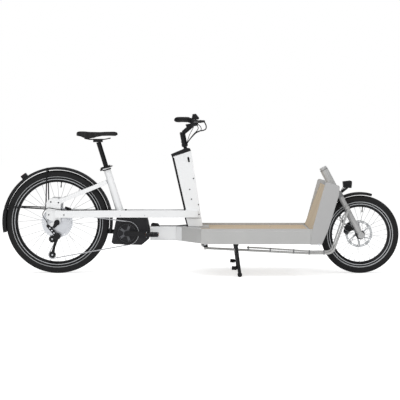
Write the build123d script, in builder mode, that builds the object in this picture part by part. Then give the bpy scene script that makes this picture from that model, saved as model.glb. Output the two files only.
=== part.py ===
"""Electric front-loading cargo bicycle: a long platform frame on a 26 inch and a 20 inch wheel.

Frame of the model: +X forward, +Y left, +Z up, millimetres.  The floor is Z = 0 and the origin is
the middle of the footprint.  Places along the bicycle are distances from one of three stations:
ahead() counts from the rear axle, past() from the crank axle and fore() from the front edge of the
load platform.  Heights on the rear wheel count from its axle.
"""

import os
from math import acos, asin, atan2, cos, degrees, pi, radians, sin, tan

from build123d import *

os.makedirs("parts", exist_ok=True)

# --- Driving dimensions -------------------------------------------------------------------------

# Wheels
WHEELBASE = 1993
REAR_TYRE_R = 340
REAR_TYRE_W = 55
REAR_TYRE_H = 53        # from the rim seat to the tread
REAR_RIM_H = 24         # rim's inner edge below its seat
FRONT_TYRE_R = 257
FRONT_TYRE_W = 50
FRONT_TYRE_H = 48
FRONT_RIM_H = 27
SPOKE_COUNT = 32
SPOKE_R = 1.0
ROTOR_R = 90
ROTOR_T = 1.8
REAR_FLANGES = (-22.5, 32.5)
FRONT_FLANGES = (-28, 28)
FLANGE_T = 3
REAR_HOLES_R = 25       # circle of the spoke holes
FRONT_HOLES_R = 21.5
REAR_BORE_R = 20        # rotor seat on the hub
FRONT_BORE_R = 18
AXLE_END_R = 9
DRIVER_R = 17           # cassette body
DRIVER_END = 72
FRONT_AXLE_HALF = 54.7
REAR_ROTOR_Y = 48
FRONT_ROTOR_Y = 40

# Clearances
SEAT = 0.3              # gap between two pieces that are fastened to each other
RUN = 0.3               # gap round a turning shaft

# Fenders
FENDER_GAP = 18
FENDER_T = 4
FENDER_SKIRT = 13
FENDER_SIDE = 3.5       # fender beyond the tyre on each side
WIRE_R = 2.5            # stays

# Twin side beams of the rear frame
BEAM_Z = 373
BEAM_H = 46
BEAM_IN = 54
BEAM_OUT = 70
DROPOUT_IN = 76
DROPOUT_T = 8

# Drive
CHAIN_PITCH = 12.7
CHAIN_Y = -48
CHAIN_DEPTH = 8
CHAIN_PLATE = 1.0
SPROCKET_T = 1.6
CRANK_CLEAR = 96        # crank axle ahead of the rear fender
CRANK_Z = 268
CRANK_AXLE_R = 12
CRANK_LENGTH = 170
CRANK_IN = 78
CRANK_T = 14
PEDAL_PIN_R = 7
PEDAL_PIN_L = 88
PEDAL_L = 92
PEDAL_W = 84
PEDAL_GAP = 4
CHAINRING_TEETH = 38
CASSETTE_TEETH = (51, 46, 41, 36, 32, 28, 24, 20, 17, 14, 11)
CASSETTE_STEP = 3.7
CHAIN_SPROCKET = 4      # place of the sprocket in use, counted from the largest
SMALLEST_OPEN = 41      # teeth of the smallest sprocket with windows
CORE_R = 21
MOTOR_IN = -41
MOTOR_OUT = 55
MOTOR_BOSS_T = 6        # raised ring round the crank axle

# Seat
SEAT_TUBE_FOOT = (-49, 414)    # past the crank, height
SEAT_TUBE_HEAD = (-131, 682)
SEAT_TUBE_R = 23
SEAT_TUBE_SWELL = 3     # wider at its foot
SEAT_POST_R = 15.8
SADDLE_Z = 937

# Load platform
PLATFORM_START = 487    # platform's rear edge past the crank
FRONT_REACH = 347       # front axle ahead of the platform
PLATFORM_HALF = 260
RAIL_W = 30
RAIL_H = 97
DECK_TOP = 300
DECK_T = 12
RAIL_LIP = 13           # rail above the deck
SPINE_START = 153       # spine's rear end past the crank
SPINE_HALF = 40
FLARE_LENGTH = 164
CROSS_H = 50
CROSS_W = 40

# Front wall
WALL_LEAN = 21
WALL_HEIGHT = 300
BOARD_T = 8
PANEL_T = 4
WING_T = 10

# Steering column and its tower
COLUMN_LEAN = 11
COLUMN_TOP = (386, 815)        # past the crank, height
COLUMN_R = 12
STEER_ARM = (10, -112)  # forward and sideways reach of both steering arms
ARM_Z = 188
ARM_T = 12
ROD_R = 7.5
EYE_R = 14
EYE_H = 14
EYE_GAP = 0.9           # under the column arm
STUD_R = 5
STEM_BEND = (370, 926)
STEM_COLLAR_R = 18
CLAMP = (447, 992)
CLAMP_R = 15.9
BAR_HALF = 325
BAR_R = 11
GRIP_LENGTH = 130
GRIP_R = 17

# Fork and head
HEAD_LEAN = 28
FORK_RAKE = 10
LEG_Y = 65
LEG_R = 17
STEERER_R = 14
HEAD_TUBE_R = 27
HEAD_TUBE_FROM = 320
HEAD_TUBE_TO = 488
CROWN_FROM = 285
CROWN_TO = 315
LUG_UP = 207

CABLE_R = 2.5

# Stand
STAND_PLACE = 225       # pivot ahead of the platform's rear edge
STAND_Z = 212
STAND_REACH = 25        # feet ahead of the pivot
STAND_LEG_R = 11
STAND_FOOT_R = 15
STAND_HUB_L = 26
STAND_HUB_R = 13
STAND_BAR_R = 9
STAND_EAR_T = 10

# --- Places that follow -------------------------------------------------------------------------

REAR_SEAT_R = REAR_TYRE_R - REAR_TYRE_H
REAR_RIM_IN = REAR_SEAT_R - REAR_RIM_H
FRONT_SEAT_R = FRONT_TYRE_R - FRONT_TYRE_H
FRONT_RIM_IN = FRONT_SEAT_R - FRONT_RIM_H
FENDER_IN = REAR_TYRE_R + FENDER_GAP
FENDER_OUT = FENDER_IN + FENDER_T
REAR_FENDER_W = REAR_TYRE_W + 2 * FENDER_SIDE
FRONT_FENDER_W = FRONT_TYRE_W + 2 * FENDER_SIDE
X_REAR = (FENDER_OUT - WHEELBASE - FRONT_TYRE_R) / 2
X_FRONT = X_REAR + WHEELBASE
X_CRANK = X_REAR + FENDER_OUT + CRANK_CLEAR
X_PLATFORM = X_CRANK + PLATFORM_START
X_FORE = X_FRONT - FRONT_REACH
PLATFORM_LENGTH = X_FORE - X_PLATFORM
X_STAND = X_PLATFORM + STAND_PLACE

REAR_AXLE_HALF = DROPOUT_IN - SEAT
RAIL_TOP = DECK_TOP + RAIL_LIP
RAIL_Z = RAIL_TOP - RAIL_H
RAIL_IN = PLATFORM_HALF - RAIL_W - SEAT
SPINE_Z = RAIL_Z + 5
CROSS_Z = DECK_TOP - DECK_T - CROSS_H
WALL_HALF = PLATFORM_HALF - WING_T - SEAT
TOWER_HALF = BEAM_IN - SEAT
SLOT_DEPTH = 3
STAND_HALF = PLATFORM_HALF - RAIL_W - STAND_HUB_L / 2 - 6
ROD_Y = -(PLATFORM_HALF - 70)
DROPOUT_OUT = LEG_Y + LEG_R + 3


def ahead(distance):
    """X of a place this far ahead of the rear axle."""
    return X_REAR + distance


def past(distance):
    """X of a place this far ahead of the crank axle."""
    return X_CRANK + distance


def fore(distance):
    """X of a place this far ahead of the platform's front edge."""
    return X_FORE + distance


def above(height):
    """Z of a place this far above the rear axle."""
    return REAR_TYRE_R + height


def wheel_point(angle, radius):
    """X and Z on the rear wheel's side view, the angle in degrees from straight ahead."""
    return (ahead(radius * cos(radians(angle))), above(radius * sin(radians(angle))))


def side_plane(y):
    """Upright lengthwise plane at this Y: its own x is X, its own y is Z, its normal is -Y."""
    return Plane.XZ.offset(-y)


def axle_plane(x, z):
    """Crosswise plane through an axle: its own x is Y and its own y is the radius."""
    return Plane(origin=(x, 0, z), x_dir=(0, 1, 0), z_dir=(1, 0, 0))


def axle(x, z):
    return Axis((x, 0, z), (0, 1, 0))


def side_points(station, points):
    """Outline points given as (distance from a station, height)."""
    return [(station(distance), height) for distance, height in points]


def finish(part, label):
    """Names a finished piece and writes it as its own STEP file."""
    part.label = label
    export_step(part, f"parts/{label}.step")


def side_plate(station, points, y_from, y_to, corner=0):
    """Plate cut to a side outline, from one Y to another."""
    with BuildPart() as plate:
        with BuildSketch(side_plane(y_to)) as shape:
            Polygon(*side_points(station, points), align=None)
            if corner:
                fillet(shape.vertices(), corner)
        extrude(amount=y_to - y_from)
    return plate.part


def rod_between(start, end, radius):
    """Round bar from one point to another."""
    run = Vector(*end) - Vector(*start)
    with BuildPart() as rod:
        with BuildSketch(Plane(origin=start, z_dir=run)):
            Circle(radius)
        extrude(amount=run.length)
    return rod.part


def bent_tube(points, radii, radius):
    """Tube through points whose corners are rounded by tangent arcs."""
    with BuildPart() as tube:
        with BuildLine() as route:
            FilletPolyline(*points, radius=radii)
        with BuildSketch(Plane(origin=route.line @ 0, z_dir=route.line % 0)):
            Circle(radius)
        sweep(path=route.line)
    return tube.part


# --- Wheels -------------------------------------------------------------------------------------


def turned(x, z, profile):
    """Body of revolution about an axle from (Y, radius) points."""
    with BuildPart() as body:
        with BuildSketch(axle_plane(x, z)):
            Polygon(*profile, align=None)
        revolve(axis=axle(x, z))
    return body.part


def tyre(x, z, outer, inner, width):
    """Round-crowned tyre with bulging side walls."""
    height = outer - inner
    bead = 0.36 * width
    shoulder = (0.40 * width, outer - 0.13 * height)
    bulge = (0.50 * width, inner + 0.42 * height)
    with BuildPart() as body:
        with BuildSketch(axle_plane(x, z)):
            with BuildLine():
                Line((-bead, inner), (bead, inner))
                ThreePointArc((bead, inner), bulge, shoulder)
                ThreePointArc(shoulder, (0, outer), (-shoulder[0], shoulder[1]))
                ThreePointArc((-shoulder[0], shoulder[1]), (-bulge[0], bulge[1]), (-bead, inner))
            make_face()
        revolve(axis=axle(x, z))
    return body.part


def rim(x, z, outer, inner, width):
    """Box-section rim: straight brake-free walls above a tapered inner bed."""
    wall = 0.33 * width
    bed = 0.20 * width
    waist = inner + 0.55 * (outer - inner)
    return turned(x, z, [(-wall, outer), (wall, outer), (wall, waist), (bed, inner),
                         (-bed, inner), (-wall, waist)])


def laced_spokes(x, z, flanges, hole_r, rim_r):
    """Spokes laced three-cross: heads outside a flange lead, heads inside it trail."""
    rim_step = 360 / SPOKE_COUNT
    lacing = 67.5
    with BuildPart() as spokes:
        for index in range(SPOKE_COUNT):
            side, outside = index % 2, index % 4 < 2
            flange_y = flanges[side]
            outward = 1 if flange_y > 0 else -1
            if outside:
                start_y = flange_y + outward * (FLANGE_T / 2 + SPOKE_R + 1.6)
                lead, end_y = lacing, 5 * outward
            else:
                start_y = flange_y - outward * (FLANGE_T / 2 + SPOKE_R + SEAT)
                lead, end_y = -lacing, 3 * outward
            rim_angle = radians(index * rim_step)
            hub_angle = rim_angle - radians(lead)
            reach = rim_r - 2 * SEAT
            start = Vector(x + hole_r * cos(hub_angle), start_y, z + hole_r * sin(hub_angle))
            end = Vector(x + reach * cos(rim_angle), end_y, z + reach * sin(rim_angle))
            with BuildSketch(Plane(origin=start, z_dir=end - start)):
                Circle(SPOKE_R)
            extrude(amount=(end - start).length)
    return spokes.part


def brake_rotor(x, z, y, bore_r):
    """Slotted brake disc on six swept arms."""
    with BuildPart() as rotor:
        with BuildSketch(side_plane(y + ROTOR_T / 2)):
            with Locations((x, z)):
                Circle(ROTOR_R)
                Circle(ROTOR_R - 17, mode=Mode.SUBTRACT)
                Circle(bore_r + 9)
            for turn in range(6):
                angle = radians(60 * turn)
                hub_point = (x + bore_r * cos(angle), z + bore_r * sin(angle))
                lean = angle + radians(35)
                rim_point = (x + (ROTOR_R - 12) * cos(lean), z + (ROTOR_R - 12) * sin(lean))
                with BuildLine():
                    Line(hub_point, rim_point)
                trace(line_width=9)
            with Locations((x, z)):
                Circle(bore_r, mode=Mode.SUBTRACT)
                with PolarLocations(ROTOR_R - 8.5, 12):
                    Circle(3.5, mode=Mode.SUBTRACT)
        extrude(amount=ROTOR_T)
    return rotor.part


rear_at = (X_REAR, REAR_TYRE_R)
front_at = (X_FRONT, FRONT_TYRE_R)
rear_right, rear_left = REAR_FLANGES
front_right, front_left = FRONT_FLANGES
half_flange = FLANGE_T / 2
rear_profile = [(-REAR_AXLE_HALF, 0), (-REAR_AXLE_HALF, AXLE_END_R), (-DRIVER_END, AXLE_END_R),
                (-DRIVER_END, DRIVER_R), (rear_right - half_flange, DRIVER_R),
                (rear_right - half_flange, REAR_HOLES_R + 4), (rear_right + half_flange, REAR_HOLES_R + 4),
                (rear_right + half_flange, 15), (rear_left - half_flange, 15),
                (rear_left - half_flange, REAR_HOLES_R + 4), (rear_left + half_flange, REAR_HOLES_R + 4),
                (rear_left + half_flange, REAR_BORE_R), (REAR_ROTOR_Y + 2, REAR_BORE_R),
                (REAR_ROTOR_Y + 2, AXLE_END_R), (REAR_AXLE_HALF, AXLE_END_R), (REAR_AXLE_HALF, 0)]
front_profile = [(-FRONT_AXLE_HALF, 0), (-FRONT_AXLE_HALF, AXLE_END_R), (front_right - 8, 14),
                 (front_right - half_flange, 14), (front_right - half_flange, FRONT_HOLES_R + 2.5),
                 (front_right + half_flange, FRONT_HOLES_R + 2.5), (front_right + half_flange, 13),
                 (front_left - half_flange, 13), (front_left - half_flange, FRONT_HOLES_R + 2.5),
                 (front_left + half_flange, FRONT_HOLES_R + 2.5), (front_left + half_flange, FRONT_BORE_R),
                 (FRONT_ROTOR_Y + 3, FRONT_BORE_R), (FRONT_ROTOR_Y + 3, AXLE_END_R),
                 (FRONT_AXLE_HALF, AXLE_END_R), (FRONT_AXLE_HALF, 0)]

finish(tyre(*rear_at, REAR_TYRE_R, REAR_SEAT_R, REAR_TYRE_W), "rear_tyre")
finish(rim(*rear_at, REAR_SEAT_R - SEAT, REAR_RIM_IN, REAR_TYRE_W), "rear_rim")
finish(turned(*rear_at, rear_profile), "rear_hub")
finish(laced_spokes(*rear_at, REAR_FLANGES, REAR_HOLES_R, REAR_RIM_IN), "rear_spokes")
finish(brake_rotor(*rear_at, REAR_ROTOR_Y, REAR_BORE_R + SEAT), "rear_rotor")
finish(tyre(*front_at, FRONT_TYRE_R, FRONT_SEAT_R, FRONT_TYRE_W), "front_tyre")
finish(rim(*front_at, FRONT_SEAT_R - SEAT, FRONT_RIM_IN, FRONT_TYRE_W), "front_rim")
finish(turned(*front_at, front_profile), "front_hub")
finish(laced_spokes(*front_at, FRONT_FLANGES, FRONT_HOLES_R, FRONT_RIM_IN), "front_spokes")
finish(brake_rotor(*front_at, FRONT_ROTOR_Y, FRONT_BORE_R + SEAT), "front_rotor")


# --- Drive --------------------------------------------------------------------------------------


def pitch_radius(teeth):
    return CHAIN_PITCH / 2 / sin(pi / teeth)


def toothed_disc(x, z, teeth):
    """Adds the outline of a sprocket to the open sketch."""
    root, tip = pitch_radius(teeth) - 3.6, pitch_radius(teeth) + 2.4
    Polygon(*[(x + r * cos(angle), z + r * sin(angle)) for tooth in range(teeth)
              for r, angle in ((tip, 2 * pi * tooth / teeth), (root, 2 * pi * (tooth + 0.5) / teeth))],
            align=None)


def chain_tangent(first, second):
    """Ends of the straight run between two circles (x, z, radius); radius > 0 turns left."""
    away = Vector(second[0] - first[0], second[1] - first[1])
    heading = atan2(away.Y, away.X) - asin((second[2] - first[2]) / away.length)
    left = (-sin(heading), cos(heading))
    return [(c[0] - left[0] * c[2], c[1] - left[1] * c[2]) for c in (first, second)]


CRANK_AT = (X_CRANK, CRANK_Z)
UPPER_PULLEY = (ahead(-32), above(-110))
LOWER_PULLEY = (ahead(-32), above(-214))
PULLEY_TEETH = 12
PULLEY_PIN_R = 4

with BuildPart() as cassette:
    for place, teeth in enumerate(CASSETTE_TEETH):
        y = CHAIN_Y - CASSETTE_STEP * (place - CHAIN_SPROCKET)
        with BuildSketch(side_plane(y + SPROCKET_T / 2)):
            toothed_disc(*rear_at, teeth)
            if teeth >= SMALLEST_OPEN:
                window_out = pitch_radius(teeth) - 9
                window_in = CORE_R + 7
                with Locations(rear_at):
                    with PolarLocations((window_in + window_out) / 2, 6, start_angle=10 * place):
                        Rectangle(window_out - window_in, 20, mode=Mode.SUBTRACT)
        extrude(amount=SPROCKET_T)
    core_from = CHAIN_Y + CASSETTE_STEP * CHAIN_SPROCKET + SPROCKET_T / 2
    core_length = CASSETTE_STEP * (len(CASSETTE_TEETH) - 1) + SPROCKET_T
    with BuildSketch(side_plane(core_from)):
        with Locations(rear_at):
            Circle(CORE_R)
    extrude(amount=core_length)
    with BuildSketch(side_plane(core_from)):
        with Locations(rear_at):
            Circle(DRIVER_R + SEAT)
    extrude(amount=core_length, mode=Mode.SUBTRACT)
finish(cassette.part, "cassette")

with BuildPart() as chainring:
    with BuildSketch(side_plane(CHAIN_Y + SPROCKET_T / 2)):
        toothed_disc(*CRANK_AT, CHAINRING_TEETH)
        with Locations(CRANK_AT):
            Circle(58, mode=Mode.SUBTRACT)
            Circle(24)
            with PolarLocations(41, 5):
                Rectangle(40, 16)
            Circle(CRANK_AXLE_R + SEAT, mode=Mode.SUBTRACT)
    extrude(amount=SPROCKET_T)
finish(chainring.part, "chainring")


def crank_arm(tip_x, y_from):
    """Adds a tapered crank arm from the bottom bracket to a pedal eye to the open part."""
    with BuildSketch(side_plane(y_from + CRANK_T)) as arm:
        with Locations(CRANK_AT):
            Circle(17)
        with Locations((tip_x, CRANK_Z)):
            Circle(12)
        make_hull()
    extrude(arm.sketch, amount=CRANK_T)


right_pedal_x = past(CRANK_LENGTH)
left_pedal_x = past(-CRANK_LENGTH)
with BuildPart() as cranks:
    crank_arm(right_pedal_x, -CRANK_IN - CRANK_T)
    crank_arm(left_pedal_x, CRANK_IN)
    with BuildSketch(side_plane(CRANK_IN)):
        with Locations(CRANK_AT):
            Circle(CRANK_AXLE_R)
    extrude(amount=2 * CRANK_IN)
    pin_root = CRANK_IN + CRANK_T
    for tip_x, pin_y in ((right_pedal_x, -pin_root), (left_pedal_x, pin_root + PEDAL_PIN_L)):
        with BuildSketch(side_plane(pin_y)):
            with Locations((tip_x, CRANK_Z)):
                Circle(PEDAL_PIN_R)
        extrude(amount=PEDAL_PIN_L)
finish(cranks.part, "cranks")


def pedal(x, inner_y, side):
    """Platform pedal: a barrel on the pin between two cage rails."""
    low = min(inner_y, inner_y + side * PEDAL_L)
    with BuildPart() as body:
        with BuildSketch(side_plane(low + PEDAL_L)) as cage:
            with Locations((x, CRANK_Z)):
                Rectangle(PEDAL_W, 24)
                fillet(cage.vertices(), 8)
                Circle(PEDAL_PIN_R + RUN, mode=Mode.SUBTRACT)
        extrude(amount=PEDAL_L)
        with BuildSketch(Plane.XY.offset(CRANK_Z - 20)):
            with Locations((x - 26, low + PEDAL_L / 2), (x + 26, low + PEDAL_L / 2)):
                Rectangle(20, PEDAL_L - 24)
        extrude(amount=40, mode=Mode.SUBTRACT)
    return body.part


finish(pedal(right_pedal_x, -CRANK_IN - CRANK_T - PEDAL_GAP, -1), "right_pedal")
finish(pedal(left_pedal_x, CRANK_IN + CRANK_T + PEDAL_GAP, 1), "left_pedal")

chain_wheels = [(*CRANK_AT, -pitch_radius(CHAINRING_TEETH)),
                (*LOWER_PULLEY, -pitch_radius(PULLEY_TEETH)),
                (*UPPER_PULLEY, pitch_radius(PULLEY_TEETH)),
                (*rear_at, -pitch_radius(CASSETTE_TEETH[CHAIN_SPROCKET]))]
chain_runs = [chain_tangent(chain_wheels[place - 1], chain_wheels[place])
              for place in range(len(chain_wheels))]


def wrap(wheel, arrive, leave):
    """Adds the chain's arc round a wheel to the open line."""
    x, z, radius = wheel
    way = 1 if radius > 0 else -1
    turn_in = atan2(arrive[1] - z, arrive[0] - x)
    turn_out = atan2(leave[1] - z, leave[0] - x)
    middle = turn_in + way * ((way * (turn_out - turn_in)) % (2 * pi)) / 2
    ThreePointArc(arrive, (x + abs(radius) * cos(middle), z + abs(radius) * sin(middle)), leave)


# The chain is its two rows of side plates; the teeth stand between them.
with BuildPart() as chain:
    for y in (CHAIN_Y - SPROCKET_T, CHAIN_Y + SPROCKET_T + CHAIN_PLATE):
        with BuildSketch(side_plane(y)):
            with BuildLine():
                for place, wheel in enumerate(chain_wheels):
                    Line(*chain_runs[place])
                    wrap(wheel, chain_runs[place][1], chain_runs[(place + 1) % len(chain_wheels)][0])
            trace(line_width=CHAIN_DEPTH)
        extrude(amount=CHAIN_PLATE)
finish(chain.part, "chain")

with BuildPart() as motor:
    with BuildSketch(side_plane(MOTOR_OUT)) as shell:
        Polygon(*side_points(past, [(-67, BEAM_Z - SEAT), (133, BEAM_Z - SEAT), (SPINE_START, CRANK_Z + 13),
                                    (146, CRANK_Z - 37), (97, CRANK_Z - 78), (-87, CRANK_Z - 73),
                                    (-102, CRANK_Z - 61), (-80, CRANK_Z + 48)]), align=None)
        fillet(shell.vertices(), 10)
    extrude(amount=MOTOR_OUT - MOTOR_IN)
    with BuildSketch(side_plane(MOTOR_OUT + MOTOR_BOSS_T)):
        with Locations(CRANK_AT):
            Circle(44)
    extrude(amount=MOTOR_BOSS_T)
    with BuildSketch(side_plane(MOTOR_OUT)):
        with Locations((past(98), CRANK_Z + 8)):
            Circle(30)
            Circle(27, mode=Mode.SUBTRACT)
    extrude(amount=2, mode=Mode.SUBTRACT)
    with BuildSketch(side_plane(MOTOR_OUT + MOTOR_BOSS_T)):
        with Locations(CRANK_AT):
            Circle(CRANK_AXLE_R + RUN)
    extrude(amount=MOTOR_OUT + MOTOR_BOSS_T - MOTOR_IN, mode=Mode.SUBTRACT)
finish(motor.part, "motor")

finish(side_plate(past, [(-63, BEAM_Z), (132, BEAM_Z), (132, BEAM_Z + 12), (-63, BEAM_Z + 12)],
                  -BEAM_IN + SEAT, BEAM_IN - SEAT), "motor_bracket")

with BuildPart() as derailleur:
    for y in (CHAIN_Y - 6.5, CHAIN_Y + 6.5):
        with BuildSketch(side_plane(y + 1)):
            with Locations(UPPER_PULLEY, LOWER_PULLEY):
                Circle(15)
            make_hull()
        extrude(amount=2)
    for at in (UPPER_PULLEY, LOWER_PULLEY):
        with BuildSketch(side_plane(CHAIN_Y + 7)):
            with Locations(at):
                Circle(PULLEY_PIN_R)
        extrude(amount=14)
    with BuildSketch(side_plane(CHAIN_Y - 7.5)):
        with Locations(UPPER_PULLEY):
            Circle(16)
    extrude(amount=42)
    with BuildSketch(side_plane(-DROPOUT_IN - DROPOUT_T - SEAT)) as knuckle:
        Polygon(*side_points(ahead, [(6, above(12)), (-22, above(18)), (-60, above(-4)), (-62, above(-24)),
                                     (-46, above(-102)), (-20, above(-118)), (-16, above(-102)),
                                     (-34, above(-22)), (6, above(-6))]), align=None)
        fillet(knuckle.vertices(), 5)
    extrude(amount=13)
finish(derailleur.part, "derailleur")

with BuildPart() as jockey_wheels:
    with BuildSketch(side_plane(CHAIN_Y + SPROCKET_T / 2)):
        for at in (UPPER_PULLEY, LOWER_PULLEY):
            toothed_disc(*at, PULLEY_TEETH)
            with Locations(at):
                Circle(PULLEY_PIN_R + RUN, mode=Mode.SUBTRACT)
    extrude(amount=SPROCKET_T)
finish(jockey_wheels.part, "jockey_wheels")


# --- Rear frame ---------------------------------------------------------------------------------

beam_end = DROPOUT_IN + 2
with BuildPart() as side_beams:
    with BuildSketch(Plane.XY.offset(BEAM_Z)):
        Polygon((ahead(-10), beam_end), (ahead(-10), beam_end + 14), (ahead(110), beam_end + 14),
                (ahead(270), BEAM_OUT), (past(467), BEAM_OUT), (past(467), BEAM_IN), (ahead(270), BEAM_IN),
                (ahead(110), beam_end), align=None)
    extrude(amount=BEAM_H)
    with BuildSketch(side_plane(DROPOUT_IN + DROPOUT_T)) as dropout:
        Polygon(*side_points(ahead, [(-66, BEAM_Z - 5), (-66, BEAM_Z + 97), (-40, BEAM_Z + 127),
                                     (10, BEAM_Z + 127), (28, BEAM_Z + 97), (28, above(5)),
                                     (14, above(-18)), (-14, above(-18)), (-26, above(10))]), align=None)
        fillet(dropout.vertices(), 8)
    extrude(amount=DROPOUT_T)
    mirror(about=Plane.XZ)
finish(side_beams.part, "side_beams")

SEAT_DIRECTION = Vector(SEAT_TUBE_HEAD[0] - SEAT_TUBE_FOOT[0], 0, SEAT_TUBE_HEAD[1] - SEAT_TUBE_FOOT[1])


def on_seat_line(distance):
    """Plane square to the seat tube, this far above its foot."""
    foot = Vector(past(SEAT_TUBE_FOOT[0]), 0, SEAT_TUBE_FOOT[1])
    return Plane(origin=foot + SEAT_DIRECTION.normalized() * distance, z_dir=SEAT_DIRECTION)


SEAT_TUBE_LENGTH = SEAT_DIRECTION.length
POST_SLIP = 0.1
POST_OUT = (SADDLE_Z - 71.5 - SEAT_TUBE_HEAD[1]) * SEAT_DIRECTION.length / SEAT_DIRECTION.Z
POST_HEAD = SEAT_TUBE_HEAD[0] + (SADDLE_Z - 61 - SEAT_TUBE_HEAD[1]) * SEAT_DIRECTION.X / SEAT_DIRECTION.Z
POST_DEPTH = 80
with BuildPart() as seat_tube:
    with BuildSketch(on_seat_line(0)):
        Circle(SEAT_TUBE_R + SEAT_TUBE_SWELL)
    with BuildSketch(on_seat_line(SEAT_TUBE_LENGTH)):
        Circle(SEAT_TUBE_R)
    loft()
    with BuildSketch(side_plane(TOWER_HALF)):
        with Locations((past(SEAT_TUBE_FOOT[0] + 4), SEAT_TUBE_FOOT[1] - 12)):
            Circle(16)
    extrude(amount=2 * TOWER_HALF)
    with BuildSketch(on_seat_line(SEAT_TUBE_LENGTH - POST_DEPTH - 2)):
        Circle(SEAT_POST_R + POST_SLIP)
    extrude(amount=POST_DEPTH + 10, mode=Mode.SUBTRACT)
finish(seat_tube.part, "seat_tube")

with BuildPart() as seat_clamp:
    with BuildSketch(on_seat_line(SEAT_TUBE_LENGTH + SEAT)):
        Circle(SEAT_TUBE_R + 6)
        Circle(SEAT_POST_R + POST_SLIP, mode=Mode.SUBTRACT)
    extrude(amount=22)
    with BuildSketch(on_seat_line(SEAT_TUBE_LENGTH + 5)):
        with Locations((-SEAT_TUBE_R - 11, 0)):
            Rectangle(20, 30)
    extrude(amount=12)
finish(seat_clamp.part, "seat_clamp")

with BuildPart() as seat_post:
    with BuildSketch(on_seat_line(SEAT_TUBE_LENGTH - POST_DEPTH)):
        Circle(SEAT_POST_R)
    extrude(amount=POST_DEPTH + POST_OUT)
    with BuildSketch(Plane.XY.offset(SADDLE_Z - 72)) as head:
        with Locations((past(POST_HEAD), 0)):
            Rectangle(62, 44)
        fillet(head.vertices(), 8)
    extrude(amount=22)
    for y in (-22, 22):
        add(bent_tube([(past(POST_HEAD - 88), y, SADDLE_Z - 47), (past(POST_HEAD - 53), y, SADDLE_Z - 54),
                       (past(POST_HEAD + 42), y, SADDLE_Z - 54),
                       (past(POST_HEAD + 82), y, SADDLE_Z - 45.5)], [40, 40], 3.5))
finish(seat_post.part, "seat_post")

with BuildPart() as saddle:
    with BuildSketch(Plane.XY.offset(SADDLE_Z - 42)) as plan:
        with BuildLine():
            nose = Polyline([(past(POST_HEAD + along), half) for along, half in
                             ((-140, 0), (-140, 60), (-118, 78), (-78, 72), (-18, 34), (62, 20), (117, 18),
                              (129, 0))])
            mirror(nose, about=Plane.XZ)
        make_face()
    extrude(amount=42)
    fillet(saddle.faces().sort_by(Axis.Z)[-1].edges(), 8)
finish(saddle.part, "saddle")

STAY_FOOT = Vector(ahead(29), DROPOUT_IN + DROPOUT_T / 2, BEAM_Z + 109)
STAY_HEAD = Vector(past(-140), 40, 600)
with BuildPart() as seat_stays:
    for side in (1, -1):
        foot = Vector(STAY_FOOT.X, side * STAY_FOOT.Y, STAY_FOOT.Z)
        head = Vector(STAY_HEAD.X, side * STAY_HEAD.Y, STAY_HEAD.Z)
        with BuildSketch(Plane(origin=foot, x_dir=(0, 1, 0), z_dir=head - foot)):
            Rectangle(12, 28)
        extrude(amount=(head - foot).length)
    with BuildSketch(side_plane(STAY_HEAD.Y + 6)):
        with Locations((STAY_HEAD.X - 7, STAY_HEAD.Z - 3)):
            Rectangle(34, 28, rotation=22)
    extrude(amount=2 * STAY_HEAD.Y + 12)
    with BuildSketch(on_seat_line(0)):
        Circle(SEAT_TUBE_R + SEAT_TUBE_SWELL + SEAT)
    with BuildSketch(on_seat_line(SEAT_TUBE_LENGTH)):
        Circle(SEAT_TUBE_R + SEAT)
    loft(mode=Mode.SUBTRACT)
finish(seat_stays.part, "seat_stays")


def swept_band(x, z, profile, start, end):
    """Strip of this (Y, radius) profile round an axle, from one angle to another."""
    with BuildPart() as band:
        with BuildSketch(axle_plane(x, z)):
            Polygon(*profile, align=None)
        revolve(axis=axle(x, z), revolution_arc=end - start)
    return band.part.rotate(axle(x, z), 90 - end)


def fender_profile(inner, width):
    """Crowned mudguard section with short side skirts."""
    half = width / 2
    left = [(half - 8, inner + 2), (half - 2, inner - 1), (half - 2, inner - FENDER_SKIRT),
            (half, inner - FENDER_SKIRT), (half, inner + 1), (half - 7, inner + FENDER_T)]
    return left + [(-y, radius) for y, radius in reversed(left)]


def flap_profile(inner, width):
    """Open channel that closes round the foot of the mudguard."""
    half = width / 2 + 5
    left = [(half - 2, inner + 2), (half - 2, inner - FENDER_SKIRT - 6), (half, inner - FENDER_SKIRT - 6),
            (half, inner + FENDER_T)]
    return left + [(-y, radius) for y, radius in reversed(left)]


FENDER_FOOT = 191
with BuildPart() as rear_fender:
    add(swept_band(*rear_at, fender_profile(FENDER_IN, REAR_FENDER_W), -12, FENDER_FOOT))
    add(swept_band(*rear_at, flap_profile(FENDER_IN, REAR_FENDER_W), FENDER_FOOT - 24, FENDER_FOOT))
finish(rear_fender.part, "rear_fender")
front_band = fender_profile(FRONT_TYRE_R + FENDER_GAP, FRONT_FENDER_W)
finish(swept_band(*front_at, front_band, 74, 135), "front_fender")


stay_reach = FENDER_IN - 6
upright_angle = degrees(acos(-66 / stay_reach))
with BuildPart() as fender_stays:
    for side in (1, -1):
        foot = (ahead(-68.8), side * (DROPOUT_IN + DROPOUT_T / 2), above(90))
        for angle in (upright_angle, 163):
            tip_x, tip_z = wheel_point(angle, stay_reach)
            add(rod_between(foot, (tip_x, side * (REAR_FENDER_W / 2 + WIRE_R + SEAT), tip_z), WIRE_R))
finish(fender_stays.part, "fender_stays")

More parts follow.
